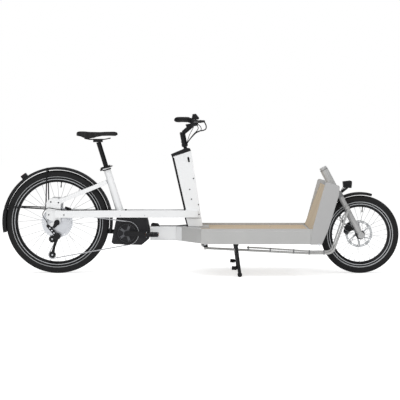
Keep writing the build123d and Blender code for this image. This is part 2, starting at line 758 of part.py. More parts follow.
LIGHT_ANGLE = 126
with BuildPart() as tail_light:
    light_x, light_z = wheel_point(LIGHT_ANGLE, FENDER_OUT + SEAT)
    outward = (cos(radians(LIGHT_ANGLE)), 0, sin(radians(LIGHT_ANGLE)))
    with BuildSketch(Plane(origin=(light_x, 0, light_z), x_dir=(0, 1, 0), z_dir=outward)) as lamp:
        Rectangle(44, 40)
        fillet(lamp.vertices(), 8)
    extrude(amount=22)
finish(tail_light.part, "tail_light")

with BuildPart() as rear_caliper:
    with BuildSketch(side_plane(beam_end - SEAT)) as body:
        Polygon(*side_points(ahead, [(34, above(36)), (78, above(36)), (82, above(84)), (46, above(96)),
                                     (30, above(72))]), align=None)
        fillet(body.vertices(), 5)
    extrude(amount=beam_end - SEAT - REAR_ROTOR_Y + 10)
    with BuildSketch(side_plane(REAR_ROTOR_Y + 2.6)):
        with Locations(rear_at):
            Circle(ROTOR_R + 5)
    extrude(amount=5.2, mode=Mode.SUBTRACT)
finish(rear_caliper.part, "rear_caliper")


# --- Load platform ------------------------------------------------------------------------------

COLUMN_DIRECTION = Vector(-sin(radians(COLUMN_LEAN)), 0, cos(radians(COLUMN_LEAN)))


def on_column(height):
    """Plane square to the steering column where its axis is at this height."""
    drop = (COLUMN_TOP[1] - height) * tan(radians(COLUMN_LEAN))
    return Plane(origin=(past(COLUMN_TOP[0] + drop), 0, height), x_dir=(cos(radians(COLUMN_LEAN)), 0,
                 sin(radians(COLUMN_LEAN))), z_dir=COLUMN_DIRECTION)


spine_end = X_PLATFORM + CROSS_W
with BuildPart() as spine:
    with BuildSketch(Plane.XY.offset(SPINE_Z)):
        with Locations(((past(SPINE_START) + spine_end) / 2, 0)):
            Rectangle(spine_end - past(SPINE_START), 2 * SPINE_HALF)
    extrude(amount=RAIL_TOP - SPINE_Z)
    fillet(spine.edges().filter_by(Axis.X), 10)
    with BuildSketch(on_column(SPINE_Z - 20)):
        Circle(COLUMN_R + RUN)
    extrude(amount=RAIL_TOP - SPINE_Z + 60, mode=Mode.SUBTRACT)
finish(spine.part, "spine")

with BuildPart() as flare_plates:
    with BuildSketch(Plane.XY.offset(SPINE_Z)):
        Polygon((X_PLATFORM - FLARE_LENGTH, SPINE_HALF + SEAT),
                (X_PLATFORM - FLARE_LENGTH + 40, SPINE_HALF + SEAT),
                (X_PLATFORM, PLATFORM_HALF - RAIL_W - 14), (X_PLATFORM, PLATFORM_HALF), align=None)
    extrude(amount=RAIL_TOP - SPINE_Z)
    mirror(about=Plane.XZ)
finish(flare_plates.part, "flare_plates")

with BuildPart() as side_rails:
    with BuildSketch(Plane.YZ.offset(X_PLATFORM + SEAT)) as section:
        Polygon((PLATFORM_HALF - RAIL_W, RAIL_Z), (PLATFORM_HALF, RAIL_Z), (PLATFORM_HALF, RAIL_TOP - 16),
                (PLATFORM_HALF - 3, RAIL_TOP - 14), (PLATFORM_HALF - 3, RAIL_TOP),
                (PLATFORM_HALF - RAIL_W, RAIL_TOP), align=None)
    extrude(amount=PLATFORM_LENGTH - 2 * SEAT)
    mirror(about=Plane.XZ)
finish(side_rails.part, "side_rails")

with BuildPart() as crossmembers:
    with BuildSketch(Plane.XY.offset(CROSS_Z)):
        with Locations((X_STAND, 0), ((X_STAND + X_FORE) / 2, 0), (fore(-CROSS_W / 2), 0)):
            Rectangle(CROSS_W, 2 * RAIL_IN)
        beside = RAIL_IN - SPINE_HALF - SEAT
        with Locations((X_PLATFORM + CROSS_W / 2, RAIL_IN - beside / 2),
                       (X_PLATFORM + CROSS_W / 2, beside / 2 - RAIL_IN)):
            Rectangle(CROSS_W, beside)
    extrude(amount=CROSS_H)
finish(crossmembers.part, "crossmembers")

with BuildPart() as deck:
    with BuildSketch(Plane.XY.offset(DECK_TOP - DECK_T)):
        with Locations(((X_PLATFORM + X_FORE) / 2, 0)):
            Rectangle(PLATFORM_LENGTH - 2 * SEAT, 2 * RAIL_IN)
        with Locations(((X_PLATFORM + spine_end) / 2, 0)):
            Rectangle(CROSS_W + 2 * SEAT + 20, 2 * SPINE_HALF + 2 * SEAT, mode=Mode.SUBTRACT)
    extrude(amount=DECK_T)
finish(deck.part, "deck")


def wall_sheet(depth_from, depth):
    """Sheet of the leaning front wall, this far ahead of its loaded face."""
    up = (sin(radians(WALL_LEAN)), cos(radians(WALL_LEAN)))
    out = (up[1], -up[0])
    corners = [(0, depth_from), (WALL_HEIGHT, depth_from), (WALL_HEIGHT, depth_from + depth),
               (0, depth_from + depth)]
    return side_plate(fore, [(4 + rise * up[0] + away * out[0],
                              DECK_TOP + SEAT + 4 + rise * up[1] + away * out[1])
                             for rise, away in corners], -WALL_HALF, WALL_HALF)


finish(wall_sheet(0, BOARD_T), "wall_board")
finish(wall_sheet(BOARD_T, PANEL_T), "wall_panel")

with BuildPart() as wall_wings:
    with BuildSketch(side_plane(PLATFORM_HALF)) as wing:
        Polygon(*side_points(fore, [(0, RAIL_Z - 3), (72, RAIL_Z - 3), (115, RAIL_TOP + 2),
                                    (180, DECK_TOP + 232), (185, DECK_TOP + 290), (95, DECK_TOP + 315),
                                    (17, DECK_TOP + 30)]), align=None)
        fillet(wing.vertices().sort_by(Axis.Y)[-2:], 14)
    extrude(amount=WING_T)
    mirror(about=Plane.XZ)
finish(wall_wings.part, "wall_wings")

HEAD_DIRECTION = Vector(-sin(radians(HEAD_LEAN)), 0, cos(radians(HEAD_LEAN)))
HEAD_FORWARD = Vector(cos(radians(HEAD_LEAN)), 0, sin(radians(HEAD_LEAN)))
FRONT_HUB = Vector(X_FRONT, 0, FRONT_TYRE_R)


def on_head(up, forward=-FORK_RAKE):
    """Plane square to the head axis, this far up from the hub; it starts on the head axis."""
    return Plane(origin=FRONT_HUB + HEAD_DIRECTION * up + HEAD_FORWARD * forward, x_dir=HEAD_FORWARD,
                 z_dir=HEAD_DIRECTION)


with BuildPart() as head_tube:
    with BuildSketch(on_head(HEAD_TUBE_FROM)):
        Circle(HEAD_TUBE_R)
        Circle(STEERER_R + RUN, mode=Mode.SUBTRACT)
    extrude(amount=HEAD_TUBE_TO - HEAD_TUBE_FROM)
finish(head_tube.part, "head_tube")

with BuildPart() as gooseneck:
    with BuildSketch(side_plane(30)) as neck:
        Polygon(*side_points(fore, [(SEAT, CROSS_Z), (SEAT, CROSS_Z + 44), (30, DECK_TOP + 10),
                                    (62, DECK_TOP + 100), (101, DECK_TOP + 200), (137, DECK_TOP + 300),
                                    (166, DECK_TOP + 320), (166, DECK_TOP + 260), (114, DECK_TOP + 140),
                                    (70, DECK_TOP + 10), (50, CROSS_Z + 10)]), align=None)
    extrude(amount=60)
    with BuildSketch(on_head(HEAD_TUBE_FROM - 60)):
        Circle(HEAD_TUBE_R + SEAT)
    extrude(amount=260, mode=Mode.SUBTRACT)
finish(gooseneck.part, "gooseneck")

stand_ear_y = STAND_HALF - STAND_HUB_L / 2 - 3
with BuildPart() as stand_brackets:
    for y in (stand_ear_y, STAND_EAR_T - stand_ear_y):
        with BuildSketch(side_plane(y)):
            Polygon((X_STAND - 20, CROSS_Z), (X_STAND + 20, CROSS_Z), (X_STAND + 16, STAND_Z - 14),
                    (X_STAND - 16, STAND_Z - 14), align=None)
            with Locations((X_STAND, STAND_Z)):
                Circle(STAND_BAR_R + RUN, mode=Mode.SUBTRACT)
        extrude(amount=STAND_EAR_T)
finish(stand_brackets.part, "stand_brackets")

# --- Tower --------------------------------------------------------------------------------------

TOWER_REAR = [(297, 769), (376, 420), (380, BEAM_Z - 5), (395, RAIL_TOP)]
STRIP_W = 9
strip_front = [(distance + STRIP_W, height) for distance, height in TOWER_REAR]
with BuildPart() as tower:
    with BuildSketch(side_plane(TOWER_HALF)):
        Polygon(*side_points(past, strip_front + [(498.3, RAIL_TOP), (489, BEAM_Z - 1), (420, 809)]),
                align=None)
    extrude(amount=2 * TOWER_HALF)
    with BuildSketch(on_column(RAIL_TOP - 20)):
        Circle(COLUMN_R + RUN)
    extrude(amount=560, mode=Mode.SUBTRACT)
    for y_from in (-TOWER_HALF, TOWER_HALF - 1.2):
        add(side_plate(past, [(380, BEAM_Z - 6), (500, BEAM_Z - 6), (500, BEAM_Z - 3.5),
                              (380, BEAM_Z - 3.5)], y_from, y_from + 1.2), mode=Mode.SUBTRACT)
    with BuildSketch(side_plane(SLOT_DEPTH - TOWER_HALF)):
        with Locations((past(406), 752)):
            SlotOverall(34, 5, rotation=90 + COLUMN_LEAN)
    extrude(amount=SLOT_DEPTH, mode=Mode.SUBTRACT)
finish(tower.part, "tower")

with BuildPart() as tower_cap:
    with BuildSketch(side_plane(TOWER_HALF - 1)) as wedge:
        Polygon(*side_points(past, [(297, 769.4), (420, 809.4), (414, 824), (390, 828), (290, 786)]),
                align=None)
    extrude(amount=2 * TOWER_HALF - 2)
    with BuildSketch(on_column(760)):
        Circle(COLUMN_R + 5)
    extrude(amount=100, mode=Mode.SUBTRACT)
    strip_back = [(distance - SEAT, height) for distance, height in reversed(strip_front)]
    add(side_plate(past, TOWER_REAR + strip_back, 1 - TOWER_HALF, TOWER_HALF - 1))
finish(tower_cap.part, "tower_cap")

# --- Steering column, bars and rod --------------------------------------------------------------

with BuildPart() as steering_column:
    with BuildSketch(on_column(ARM_Z)):
        Circle(COLUMN_R)
    extrude(amount=(COLUMN_TOP[1] + 20 - ARM_Z) / cos(radians(COLUMN_LEAN)))
    with BuildSketch(on_column(ARM_Z)):
        Circle(20)
        with Locations(STEER_ARM):
            Circle(EYE_R)
        make_hull()
        with Locations(STEER_ARM):
            Circle(STUD_R + RUN, mode=Mode.SUBTRACT)
    extrude(amount=ARM_T / 2, both=True)
finish(steering_column.part, "steering_column")

column_arm = on_column(ARM_Z)
rear_eye = column_arm.from_local_coords(Vector(*STEER_ARM, -ARM_T / 2 - EYE_GAP - EYE_H / 2))
fork_arm = on_head(LUG_UP)
front_eye = fork_arm.from_local_coords(Vector(*STEER_ARM, -ARM_T / 2 - 3 - EYE_H / 2))
with BuildPart() as tie_rod:
    with BuildSketch(Plane(origin=rear_eye, x_dir=column_arm.x_dir, z_dir=column_arm.z_dir)):
        Circle(EYE_R)
    extrude(amount=EYE_H / 2, both=True)
    with BuildSketch(Plane(origin=rear_eye, x_dir=column_arm.x_dir, z_dir=column_arm.z_dir)):
        Circle(STUD_R)
    extrude(amount=EYE_H / 2 + ARM_T + 6)
    with BuildSketch(Plane(origin=front_eye, x_dir=fork_arm.x_dir, z_dir=fork_arm.z_dir)):
        Circle(EYE_R)
    extrude(amount=EYE_H / 2, both=True)
    with BuildSketch(Plane(origin=front_eye, x_dir=fork_arm.x_dir, z_dir=fork_arm.z_dir)):
        Circle(STUD_R)
    extrude(amount=EYE_H / 2 + ARM_T + 10)
    route = [rear_eye, Vector(fore(-6), ROD_Y, 150), Vector(fore(149), ROD_Y, 150), front_eye]
    add(bent_tube(route, [200, 50], ROD_R))
finish(tie_rod.part, "tie_rod")

with BuildPart() as stem:
    column_head = on_column(COLUMN_TOP[1] + 20 + SEAT)
    with BuildSketch(column_head):
        Circle(STEM_COLLAR_R)
    extrude(amount=95)
    add(rod_between((past(STEM_BEND[0]), 0, STEM_BEND[1]), (past(CLAMP[0]), 0, CLAMP[1]), 15))
    with BuildSketch(side_plane(26)):
        with Locations((past(CLAMP[0]), CLAMP[1])):
            Circle(22)
    extrude(amount=52)
    with BuildSketch(side_plane(26)):
        with Locations((past(CLAMP[0]), CLAMP[1])):
            Circle(CLAMP_R + POST_SLIP)
    extrude(amount=52, mode=Mode.SUBTRACT)
finish(stem.part, "stem")


def grip_root(side):
    """Bend of the handlebar where it turns back towards a hand."""
    return Vector(past(408), side * (BAR_HALF - 145), CLAMP[1] + 20)


def bar_tip(side):
    return Vector(past(332), side * BAR_HALF, CLAMP[1] + 22)


with BuildPart() as handlebar:
    with BuildSketch(side_plane(60)):
        with Locations((past(CLAMP[0]), CLAMP[1])):
            Circle(CLAMP_R)
    extrude(amount=120)
    for side in (1, -1):
        add(bent_tube([(past(CLAMP[0]), side * 40, CLAMP[1]), (past(CLAMP[0]), side * 85, CLAMP[1]),
                       grip_root(side), bar_tip(side)], [60, 90], BAR_R))
finish(handlebar.part, "handlebar")

with BuildPart() as grips:
    for side in (1, -1):
        tip = bar_tip(side)
        inward = (grip_root(side) - tip).normalized()
        with BuildSketch(Plane(origin=tip + inward * GRIP_LENGTH, z_dir=inward * -1)):
            Circle(GRIP_R)
            Circle(BAR_R + SEAT, mode=Mode.SUBTRACT)
        extrude(amount=GRIP_LENGTH - 0.5)
finish(grips.part, "grips")

with BuildPart() as brake_levers:
    for side in (1, -1):
        with BuildSketch(Plane.XY.offset(CLAMP[1] + 10)) as lever:
            Polygon(*[(past(distance), side * (BAR_HALF - inboard)) for distance, inboard in
                      ((402, 120), (422, 157), (472, 153), (466, 133), (442, 25), (430, 25), (438, 113))],
                    align=None)
            fillet(lever.vertices(), 3)
        extrude(amount=9, both=True)
        with BuildSketch(Plane(origin=grip_root(side), z_dir=grip_root(side) - bar_tip(side))):
            Circle(BAR_R + 1.5)
        extrude(amount=60, both=True, mode=Mode.SUBTRACT)
finish(brake_levers.part, "brake_levers")

with BuildPart() as display:
    with BuildSketch(side_plane(34)) as housing:
        Polygon(*side_points(past, [(426, CLAMP[1] + 23), (472, CLAMP[1] + 21.6), (476, CLAMP[1] + 32),
                                    (454, CLAMP[1] + 59), (432, CLAMP[1] + 57)]), align=None)
        fillet(housing.vertices(), 3)
    extrude(amount=68)
finish(display.part, "display")

hose_collar = on_column(COLUMN_TOP[1] + 34)
with BuildPart() as control_hoses:
    for side in (1, -1):
        end = hose_collar.from_local_coords(Vector(4, side * (STEM_COLLAR_R + CABLE_R + SEAT), 0))
        add(bent_tube([(past(471.4), side * (BAR_HALF - 145), CLAMP[1] + 10), (past(508), side * 168, 998),
                       (past(517), side * 95, 955), (past(477), side * 50, 925), end],
                      [22, 26, 26], CABLE_R))
finish(control_hoses.part, "control_hoses")

# --- Fork ---------------------------------------------------------------------------------------

with BuildPart() as fork_crown:
    with BuildSketch(on_head(CROWN_FROM)) as crown:
        with Locations((FORK_RAKE / 2, 0)):
            Rectangle(50, 2 * DROPOUT_OUT)
        fillet(crown.vertices(), 18)
    extrude(amount=CROWN_TO - CROWN_FROM)
    with BuildSketch(on_head(CROWN_TO)):
        Circle(STEERER_R)
    extrude(amount=HEAD_TUBE_TO - CROWN_TO + 4)
    with BuildSketch(on_head(HEAD_TUBE_TO + 2)):
        Circle(HEAD_TUBE_R - 3)
    extrude(amount=14)
    with BuildSketch(on_head(FRONT_TYRE_R + FENDER_GAP + FENDER_T + SEAT)):
        Circle(9)
    extrude(amount=10)
finish(fork_crown.part, "fork_crown")

with BuildPart() as fork:
    for side in (1, -1):
        with BuildSketch(on_head(0, 0)):
            with Locations((0, side * LEG_Y)):
                Circle(LEG_R)
        extrude(amount=CROWN_FROM)
    with BuildSketch(side_plane(FRONT_AXLE_HALF + SEAT)):
        with Locations(front_at):
            Circle(26)
    extrude(amount=2 * (FRONT_AXLE_HALF + SEAT), mode=Mode.SUBTRACT)
    for outer_y in (DROPOUT_OUT, -FRONT_AXLE_HALF - SEAT):
        with BuildSketch(side_plane(outer_y)):
            with Locations(front_at):
                Circle(22)
        extrude(amount=DROPOUT_OUT - FRONT_AXLE_HALF - SEAT)
    with BuildSketch(on_head(LUG_UP)):
        with Locations((FORK_RAKE, 3 - LEG_Y - LEG_R)):
            Circle(13)
        with Locations(STEER_ARM):
            Circle(EYE_R + 3)
        make_hull()
        with Locations(STEER_ARM):
            Circle(STUD_R + 6, mode=Mode.SUBTRACT)
    extrude(amount=ARM_T / 2, both=True)
finish(fork.part, "fork")

leg_plane = on_head(0, 0)
caliper_top = Vector(-LEG_R - SEAT - 30, 58, 86 + SEAT + 1.2)
hose_route = [caliper_top, Vector(-78, 60, 150), Vector(-58, 64, 215),
              Vector(-LEG_R - 3, LEG_Y, 262), Vector(-LEG_R - 3, LEG_Y, CROWN_FROM - SEAT)]
hose_points = [leg_plane.from_local_coords(point) for point in hose_route]
finish(bent_tube(hose_points, [60, 50, 30], CABLE_R), "fork_hose")

with BuildPart() as headlight:
    with BuildSketch(side_plane(30)) as lamp:
        Polygon(*side_points(fore, [(234, 606), (238, 566), (288, 564), (291, 608), (284, 612)]),
                align=None)
        fillet(lamp.vertices(), 3)
    extrude(amount=60)
finish(headlight.part, "headlight")

with BuildPart() as light_bracket:
    with BuildSketch(side_plane(12)):
        Polygon(*side_points(fore, [(218.7, 542), (226.2, 528), (266, 560), (266, 564.6), (254, 564.6)]),
                align=None)
    extrude(amount=24)
finish(light_bracket.part, "light_bracket")

with BuildPart() as front_caliper:
    with BuildSketch(on_head(40, 0)):
        with Locations((-LEG_R - SEAT - 24, 52)):
            Rectangle(48, 38)
    extrude(amount=46)
    with BuildSketch(side_plane(FRONT_ROTOR_Y + 2.6)):
        with Locations(front_at):
            Circle(ROTOR_R + 5)
    extrude(amount=5.2, mode=Mode.SUBTRACT)
finish(front_caliper.part, "front_caliper")

# --- Stand --------------------------------------------------------------------------------------

with BuildPart() as stand:
    with BuildSketch(side_plane(STAND_HALF)):
        with Locations((X_STAND, STAND_Z)):
            Circle(STAND_BAR_R)
    extrude(amount=2 * STAND_HALF)
    for side in (1, -1):
        top = Vector(X_STAND, side * STAND_HALF, STAND_Z)
        foot = Vector(X_STAND + STAND_REACH, side * STAND_HALF, STAND_FOOT_R)
        add(rod_between(tuple(top), tuple(foot), STAND_LEG_R))
        for at, length, radius in ((top, STAND_HUB_L, STAND_HUB_R), (foot, 34, STAND_FOOT_R)):
            with BuildSketch(side_plane(at.Y + length / 2)):
                with Locations((at.X, at.Z)):
                    Circle(radius)
            extrude(amount=length)
        peg = top + (foot - top) * 0.8
        add(rod_between(tuple(peg), tuple(peg + Vector(-46, 0, 4)), 6))
finish(stand.part, "stand")

# --- Cables on the frame ------------------------------------------------------------------------

cable_z = BEAM_Z + BEAM_H + CABLE_R + SEAT
with BuildPart() as frame_cables:
    add(bent_tube([(ahead(255.6), -63, cable_z), (ahead(110), -83, cable_z), (ahead(10), -90, BEAM_Z + 55),
                   (ahead(-60), -94, BEAM_Z + 67), (ahead(-95), -94, above(55)),
                   (ahead(-64), -92, above(12))], [300, 150, 30, 30], CABLE_R))
    add(rod_between((past(SPINE_START + 64 + SEAT), -24, RAIL_TOP + CABLE_R + SEAT),
                    (past(TOWER_REAR[-1][0] - 1.5), -24, RAIL_TOP + CABLE_R + SEAT), CABLE_R))
    add(side_plate(past, [(SPINE_START + 5, RAIL_TOP), (SPINE_START + 5, RAIL_TOP + 14),
                          (SPINE_START + 14, RAIL_TOP + 22), (SPINE_START + 52, RAIL_TOP + 18),
                          (SPINE_START + 64, RAIL_TOP)], -36, -12))
    for at in (ahead(262), past(-5)):
        with BuildSketch(Plane.XY.offset(BEAM_Z + BEAM_H)):
            with Locations((at, -(BEAM_IN + BEAM_OUT) / 2)):
                Circle(7)
        extrude(amount=9, taper=15)
finish(frame_cables.part, "frame_cables")
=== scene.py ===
from math import acos, asin, atan2, cos, dist, exp, hypot, pi, radians, sin, tan

import bmesh
import bpy
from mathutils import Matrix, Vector


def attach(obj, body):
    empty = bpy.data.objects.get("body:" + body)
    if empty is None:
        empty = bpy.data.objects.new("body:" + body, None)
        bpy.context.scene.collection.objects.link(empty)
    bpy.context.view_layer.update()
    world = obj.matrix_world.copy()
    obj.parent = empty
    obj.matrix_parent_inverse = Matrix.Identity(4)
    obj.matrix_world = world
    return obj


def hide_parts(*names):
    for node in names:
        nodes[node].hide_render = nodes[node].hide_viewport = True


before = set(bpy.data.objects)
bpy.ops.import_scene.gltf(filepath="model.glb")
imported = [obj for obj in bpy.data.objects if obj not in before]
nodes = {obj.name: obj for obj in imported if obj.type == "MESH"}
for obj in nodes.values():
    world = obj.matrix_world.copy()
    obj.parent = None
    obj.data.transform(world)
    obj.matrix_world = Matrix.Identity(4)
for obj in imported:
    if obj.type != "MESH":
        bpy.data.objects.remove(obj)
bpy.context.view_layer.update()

# --- Places on the bicycle, in millimetres ---
# Shapes are made in millimetres too, and Shape.piece turns them into metres.

LEFT, RIGHT, UP = (0, 1, 0), (0, -1, 0), (0, 0, 1)
REAR = (-944, 340)
FRONT = (1049, 257)
CRANK = (REAR[0] + 458, 268)
CRANK_LENGTH = 170
PLATFORM_FRONT = 702
FENDER_STAYS = (100.8, 163)  # degrees round the rear axle
SPOKES = 32
CHAIN_PITCH = 12.7
CHAINRING_TEETH, PULLEY_TEETH, SPROCKET_TEETH = 38, 12, 32
CHAIN_Y = -48
UPPER_PULLEY = (REAR[0] - 32, 230)
LOWER_PULLEY = (REAR[0] - 32, 126)
COLUMN_LEAN, HEAD_LEAN, WALL_LEAN = radians(11), radians(28), radians(21)
COLUMN = Vector((-sin(COLUMN_LEAN), 0, cos(COLUMN_LEAN)))


def ahead(distance):
    """X of a place this far ahead of the rear axle."""
    return REAR[0] + distance


def past(distance):
    """X of a place this far ahead of the crank axle."""
    return CRANK[0] + distance


def fore(distance):
    """X of a place this far ahead of the platform's front edge."""
    return PLATFORM_FRONT + distance


COLUMN_FOOT = Vector((past(386 - 20.3 * tan(COLUMN_LEAN)), 0, 835.3))

# --- Materials ---

SLOTS = {}


def tone(red, green, blue):
    """Linear colour of an 8 bit display colour."""
    def linear(value):
        value /= 255
        return value / 12.92 if value <= 0.04045 else ((value + 0.055) / 1.055) ** 2.4
    return (linear(red), linear(green), linear(blue), 1.0)


def put(tree, kind, values, **settings):
    """Adds a shader node. A value is a number or colour, or the socket that feeds it."""
    made = tree.nodes.new("ShaderNode" + kind)
    for name, value in settings.items():
        setattr(made, name, value)
    feed(tree, made, values)
    return made


def feed(tree, node, values):
    for name, value in values.items():
        if isinstance(value, bpy.types.NodeSocket):
            tree.links.new(value, node.inputs[name])
        else:
            node.inputs[name].default_value = value


def noise(tree, place, scale, detail=3.0, roughness=0.55):
    values = {"Scale": scale, "Detail": detail, "Roughness": roughness, "Vector": place}
    return put(tree, "TexNoise", values).outputs["Fac"]


def stretched(tree, scale, turn=(0, 0, 0)):
    """Object coordinates scaled along their own axes."""
    values = {"Scale": [1 / share for share in scale], "Rotation": turn,
              "Vector": put(tree, "TexCoord", {}).outputs["Object"]}
    return put(tree, "Mapping", values, vector_type="TEXTURE").outputs["Vector"]


def blend_colour(tree, factor, first, second):
    return put(tree, "Mix", {0: factor, 6: first, 7: second}, data_type="RGBA").outputs[2]


def span(tree, value, low, high, from_low=0.3, from_high=0.7):
    """Value spread from one range on to another."""
    values = {"From Min": from_low, "From Max": from_high, "To Min": low, "To Max": high, "Value": value}
    return put(tree, "MapRange", values).outputs["Result"]


def relief(tree, shader, height, depth, edge=0.0):
    """Bump of this depth in millimetres, over edges softened by a radius in millimetres."""
    values = {"Distance": depth / 1000, "Height": height}
    if edge:
        values["Normal"] = put(tree, "Bevel", {"Radius": edge / 1000}, samples=4).outputs["Normal"]
    tree.links.new(put(tree, "Bump", values).outputs["Normal"], shader.inputs["Normal"])


def blank(name, slot):
    """New material for a slot of the record, with its node tree and shader."""
    made = bpy.data.materials.new(name)
    made.use_nodes = True
    SLOTS[made] = slot
    return made, made.node_tree, made.node_tree.nodes["Principled BSDF"]


def finish_for(name, slot, colour, rough, metal=0.0, coat=0.0, spread=0.05, patch=7.0, grain=900, depth=0.04,
               edge=0.0, gloss=0.5):
    """Material whose colour, roughness and relief vary over the surface."""
    made, tree, shader = blank(name, slot)
    place = stretched(tree, (1, 1, 1))
    broad = noise(tree, place, patch)
    fine = noise(tree, place, grain, 2.0)
    colour = tone(*colour)[:3]
    dark, light = (tuple(min(1.0, c * (1 + way * spread)) for c in colour) + (1.0,) for way in (-1, 1))
    feed(tree, shader, {"Metallic": metal, "Coat Weight": coat, "Specular IOR Level": gloss,
                        "Base Color": blend_colour(tree, span(tree, broad, 0, 1), dark, light),
                        "Roughness": span(tree, broad, rough * 0.85, min(1.0, rough * 1.15))})
    relief(tree, shader, fine, depth, edge)
    return made


def wood_for(name, colour, dark, stretch, turn=(0, 0, 0), plank=0.0):
    """Oiled wood with long grain, and board joints where plank is a width in metres."""
    made, tree, shader = blank(name, "wood")
    place = stretched(tree, stretch, turn)
    grain = height = noise(tree, place, 1.0, 6.0, 0.65)
    streak = noise(tree, place, 4.5, 3.0, 0.5)
    shade = blend_colour(tree, span(tree, grain, 0, 1, 0.35, 0.68), dark, colour)
    darker = tuple(c * 0.72 for c in dark[:3]) + (1,)
    shade = blend_colour(tree, span(tree, streak, 0, 0.35, 0.5, 0.62), shade, darker)
    if plank:
        split = put(tree, "SeparateXYZ", {"Vector": put(tree, "TexCoord", {}).outputs["Object"]})
        across = put(tree, "Math", {1: plank / 2, 0: split.outputs["Y"]}, operation="PINGPONG")
        joint = span(tree, across.outputs["Value"], 1, 0, 0.0004, 0.0016)
        shade = blend_colour(tree, joint, shade, tone(84, 74, 62))
        height = put(tree, "Math", {0: grain, 1: joint}, operation="SUBTRACT").outputs["Value"]
    feed(tree, shader, {"Roughness": 0.55, "Base Color": shade})
    relief(tree, shader, height, 0.4, 0.6)
    return made


paint = finish_for("paint_white", "white_paint", (236, 237, 238), 0.30, coat=0.35, spread=0.012, grain=420,
    depth=0.02, edge=1.2)
# Darker copy of the white paint, in the same slot: painted shade on the spine, the derailleur hanger and the
# flare lap strips.
shaded_white_paint = finish_for("paint_white_shaded", "white_paint", (226, 227, 228), 0.34, coat=0.3, spread=0.012,
    grain=420, depth=0.02, edge=1.2)
grey = finish_for("paint_grey", "grey_paint", (178, 178, 177), 0.42, metal=0.1, coat=0.15, spread=0.03,
    grain=700, depth=0.03, edge=1)
sheet_grey = finish_for("panel_grey", "grey_paint", (175, 175, 175), 0.5, spread=0.025, grain=500, edge=0.8)
fork_grey = finish_for("fork_grey", "grey_paint", (176, 176, 176), 0.36, metal=0.2, coat=0.2, spread=0.03,
    grain=700, depth=0.02, edge=0.8)
crown_grey = finish_for("crown_grey", "grey_paint", (122, 123, 124), 0.38, metal=0.3, spread=0.04, grain=700,
    depth=0.02, edge=0.8)
black_metal = finish_for("metal_black", "black_metal", (22, 22, 24), 0.38, gloss=0.25, metal=0.3, spread=0.1,
    grain=1100, depth=0.03, edge=0.5)
satin_black = finish_for("alloy_black", "black_metal", (20, 20, 22), 0.32, gloss=0.25, metal=0.4, spread=0.08,
    grain=1400, depth=0.02, edge=0.6)
plastic = finish_for("plastic_black", "black_plastic", (21, 21, 23), 0.50, gloss=0.2, spread=0.08, grain=1300,
    depth=0.07, edge=0.6)
shell = finish_for("motor_shell", "black_plastic", (31, 31, 34), 0.48, gloss=0.25, metal=0.1, spread=0.07,
    grain=1500, depth=0.1, edge=1.2)
rubber = finish_for("rubber_black", "rubber", (20, 20, 21), 0.62, gloss=0.2, spread=0.1, grain=900, depth=0.08)
steel = finish_for("steel_bright", "steel", (196, 198, 202), 0.30, metal=0.9, spread=0.05, patch=12, grain=600,
    depth=0.02, edge=0.3)
disc_steel = finish_for("steel_disc", "steel", (196, 198, 200), 0.32, metal=0.7, spread=0.05, patch=30,
    grain=1600, depth=0.02)
spoke_steel = finish_for("steel_spoke", "spoke", (128, 130, 133), 0.38, metal=0.6, spread=0.04, patch=40,
    grain=1500, depth=0.01)
ring_grey = finish_for("ring_grey", "steel", (84, 85, 88), 0.36, gloss=0.3, metal=0.5, spread=0.06, patch=30,
    grain=1200, depth=0.02, edge=0.3)
chain_steel = finish_for("steel_chain", "steel", (158, 159, 162), 0.36, metal=0.8, spread=0.08, patch=60,
    grain=1500, depth=0.02)
rim_black = finish_for("rim_black", "rim", (20, 20, 22), 0.36, gloss=0.2, metal=0.2, spread=0.1, patch=16,
    grain=900, depth=0.02, edge=0.6)
# Silver of the thin rings on the rim walls: a painted highlight of the rims' edges.
rim_highlight_silver = finish_for("rim_highlight_silver", "rim", (190, 192, 195), 0.42, metal=0.4, spread=0.05, patch=30,
    grain=1800, depth=0.02)
tread = finish_for("tyre_rubber", "tyre", (34, 34, 35), 0.78, gloss=0.15, spread=0.14, patch=24, grain=1100,
    depth=0.14)
stripe = finish_for("reflective_stripe", "tyre", (168, 170, 172), 0.45, spread=0.05, patch=60, grain=2200,
    depth=0.06)
cover = finish_for("saddle_cover", "saddle", (26, 26, 27), 0.58, gloss=0.25, spread=0.12, patch=30, grain=1500,
    depth=0.22)
thread = finish_for("saddle_thread", "saddle", (30, 30, 31), 0.8, gloss=0.2, spread=0.15, patch=200, grain=4000,
    depth=0.1)
red = finish_for("lens_red", "red_lens", (150, 14, 18), 0.18, coat=0.6, spread=0.1, patch=80, grain=500,
    depth=0.2, edge=1)
lens = finish_for("lens_clear", "lamp", (214, 218, 222), 0.08, coat=0.9, spread=0.06, patch=60, grain=300,
    depth=0.1)
amber = finish_for("reflector_amber", "lamp", (196, 104, 18), 0.2, coat=0.6, spread=0.12, patch=300, grain=900,
    depth=0.3)
screen = finish_for("display_glass", "lamp", (14, 15, 18), 0.10, coat=0.8, spread=0.15, patch=20, grain=900,
    depth=0.01)
deck_wood = wood_for("wood_deck", tone(203, 184, 158), tone(178, 158, 130), (2.2, 42, 42), plank=0.0765)
wall_wood = wood_for("wood_wall", tone(205, 190, 165), tone(182, 164, 138), (42, 42, 2.2),
    turn=(0, WALL_LEAN, 0))

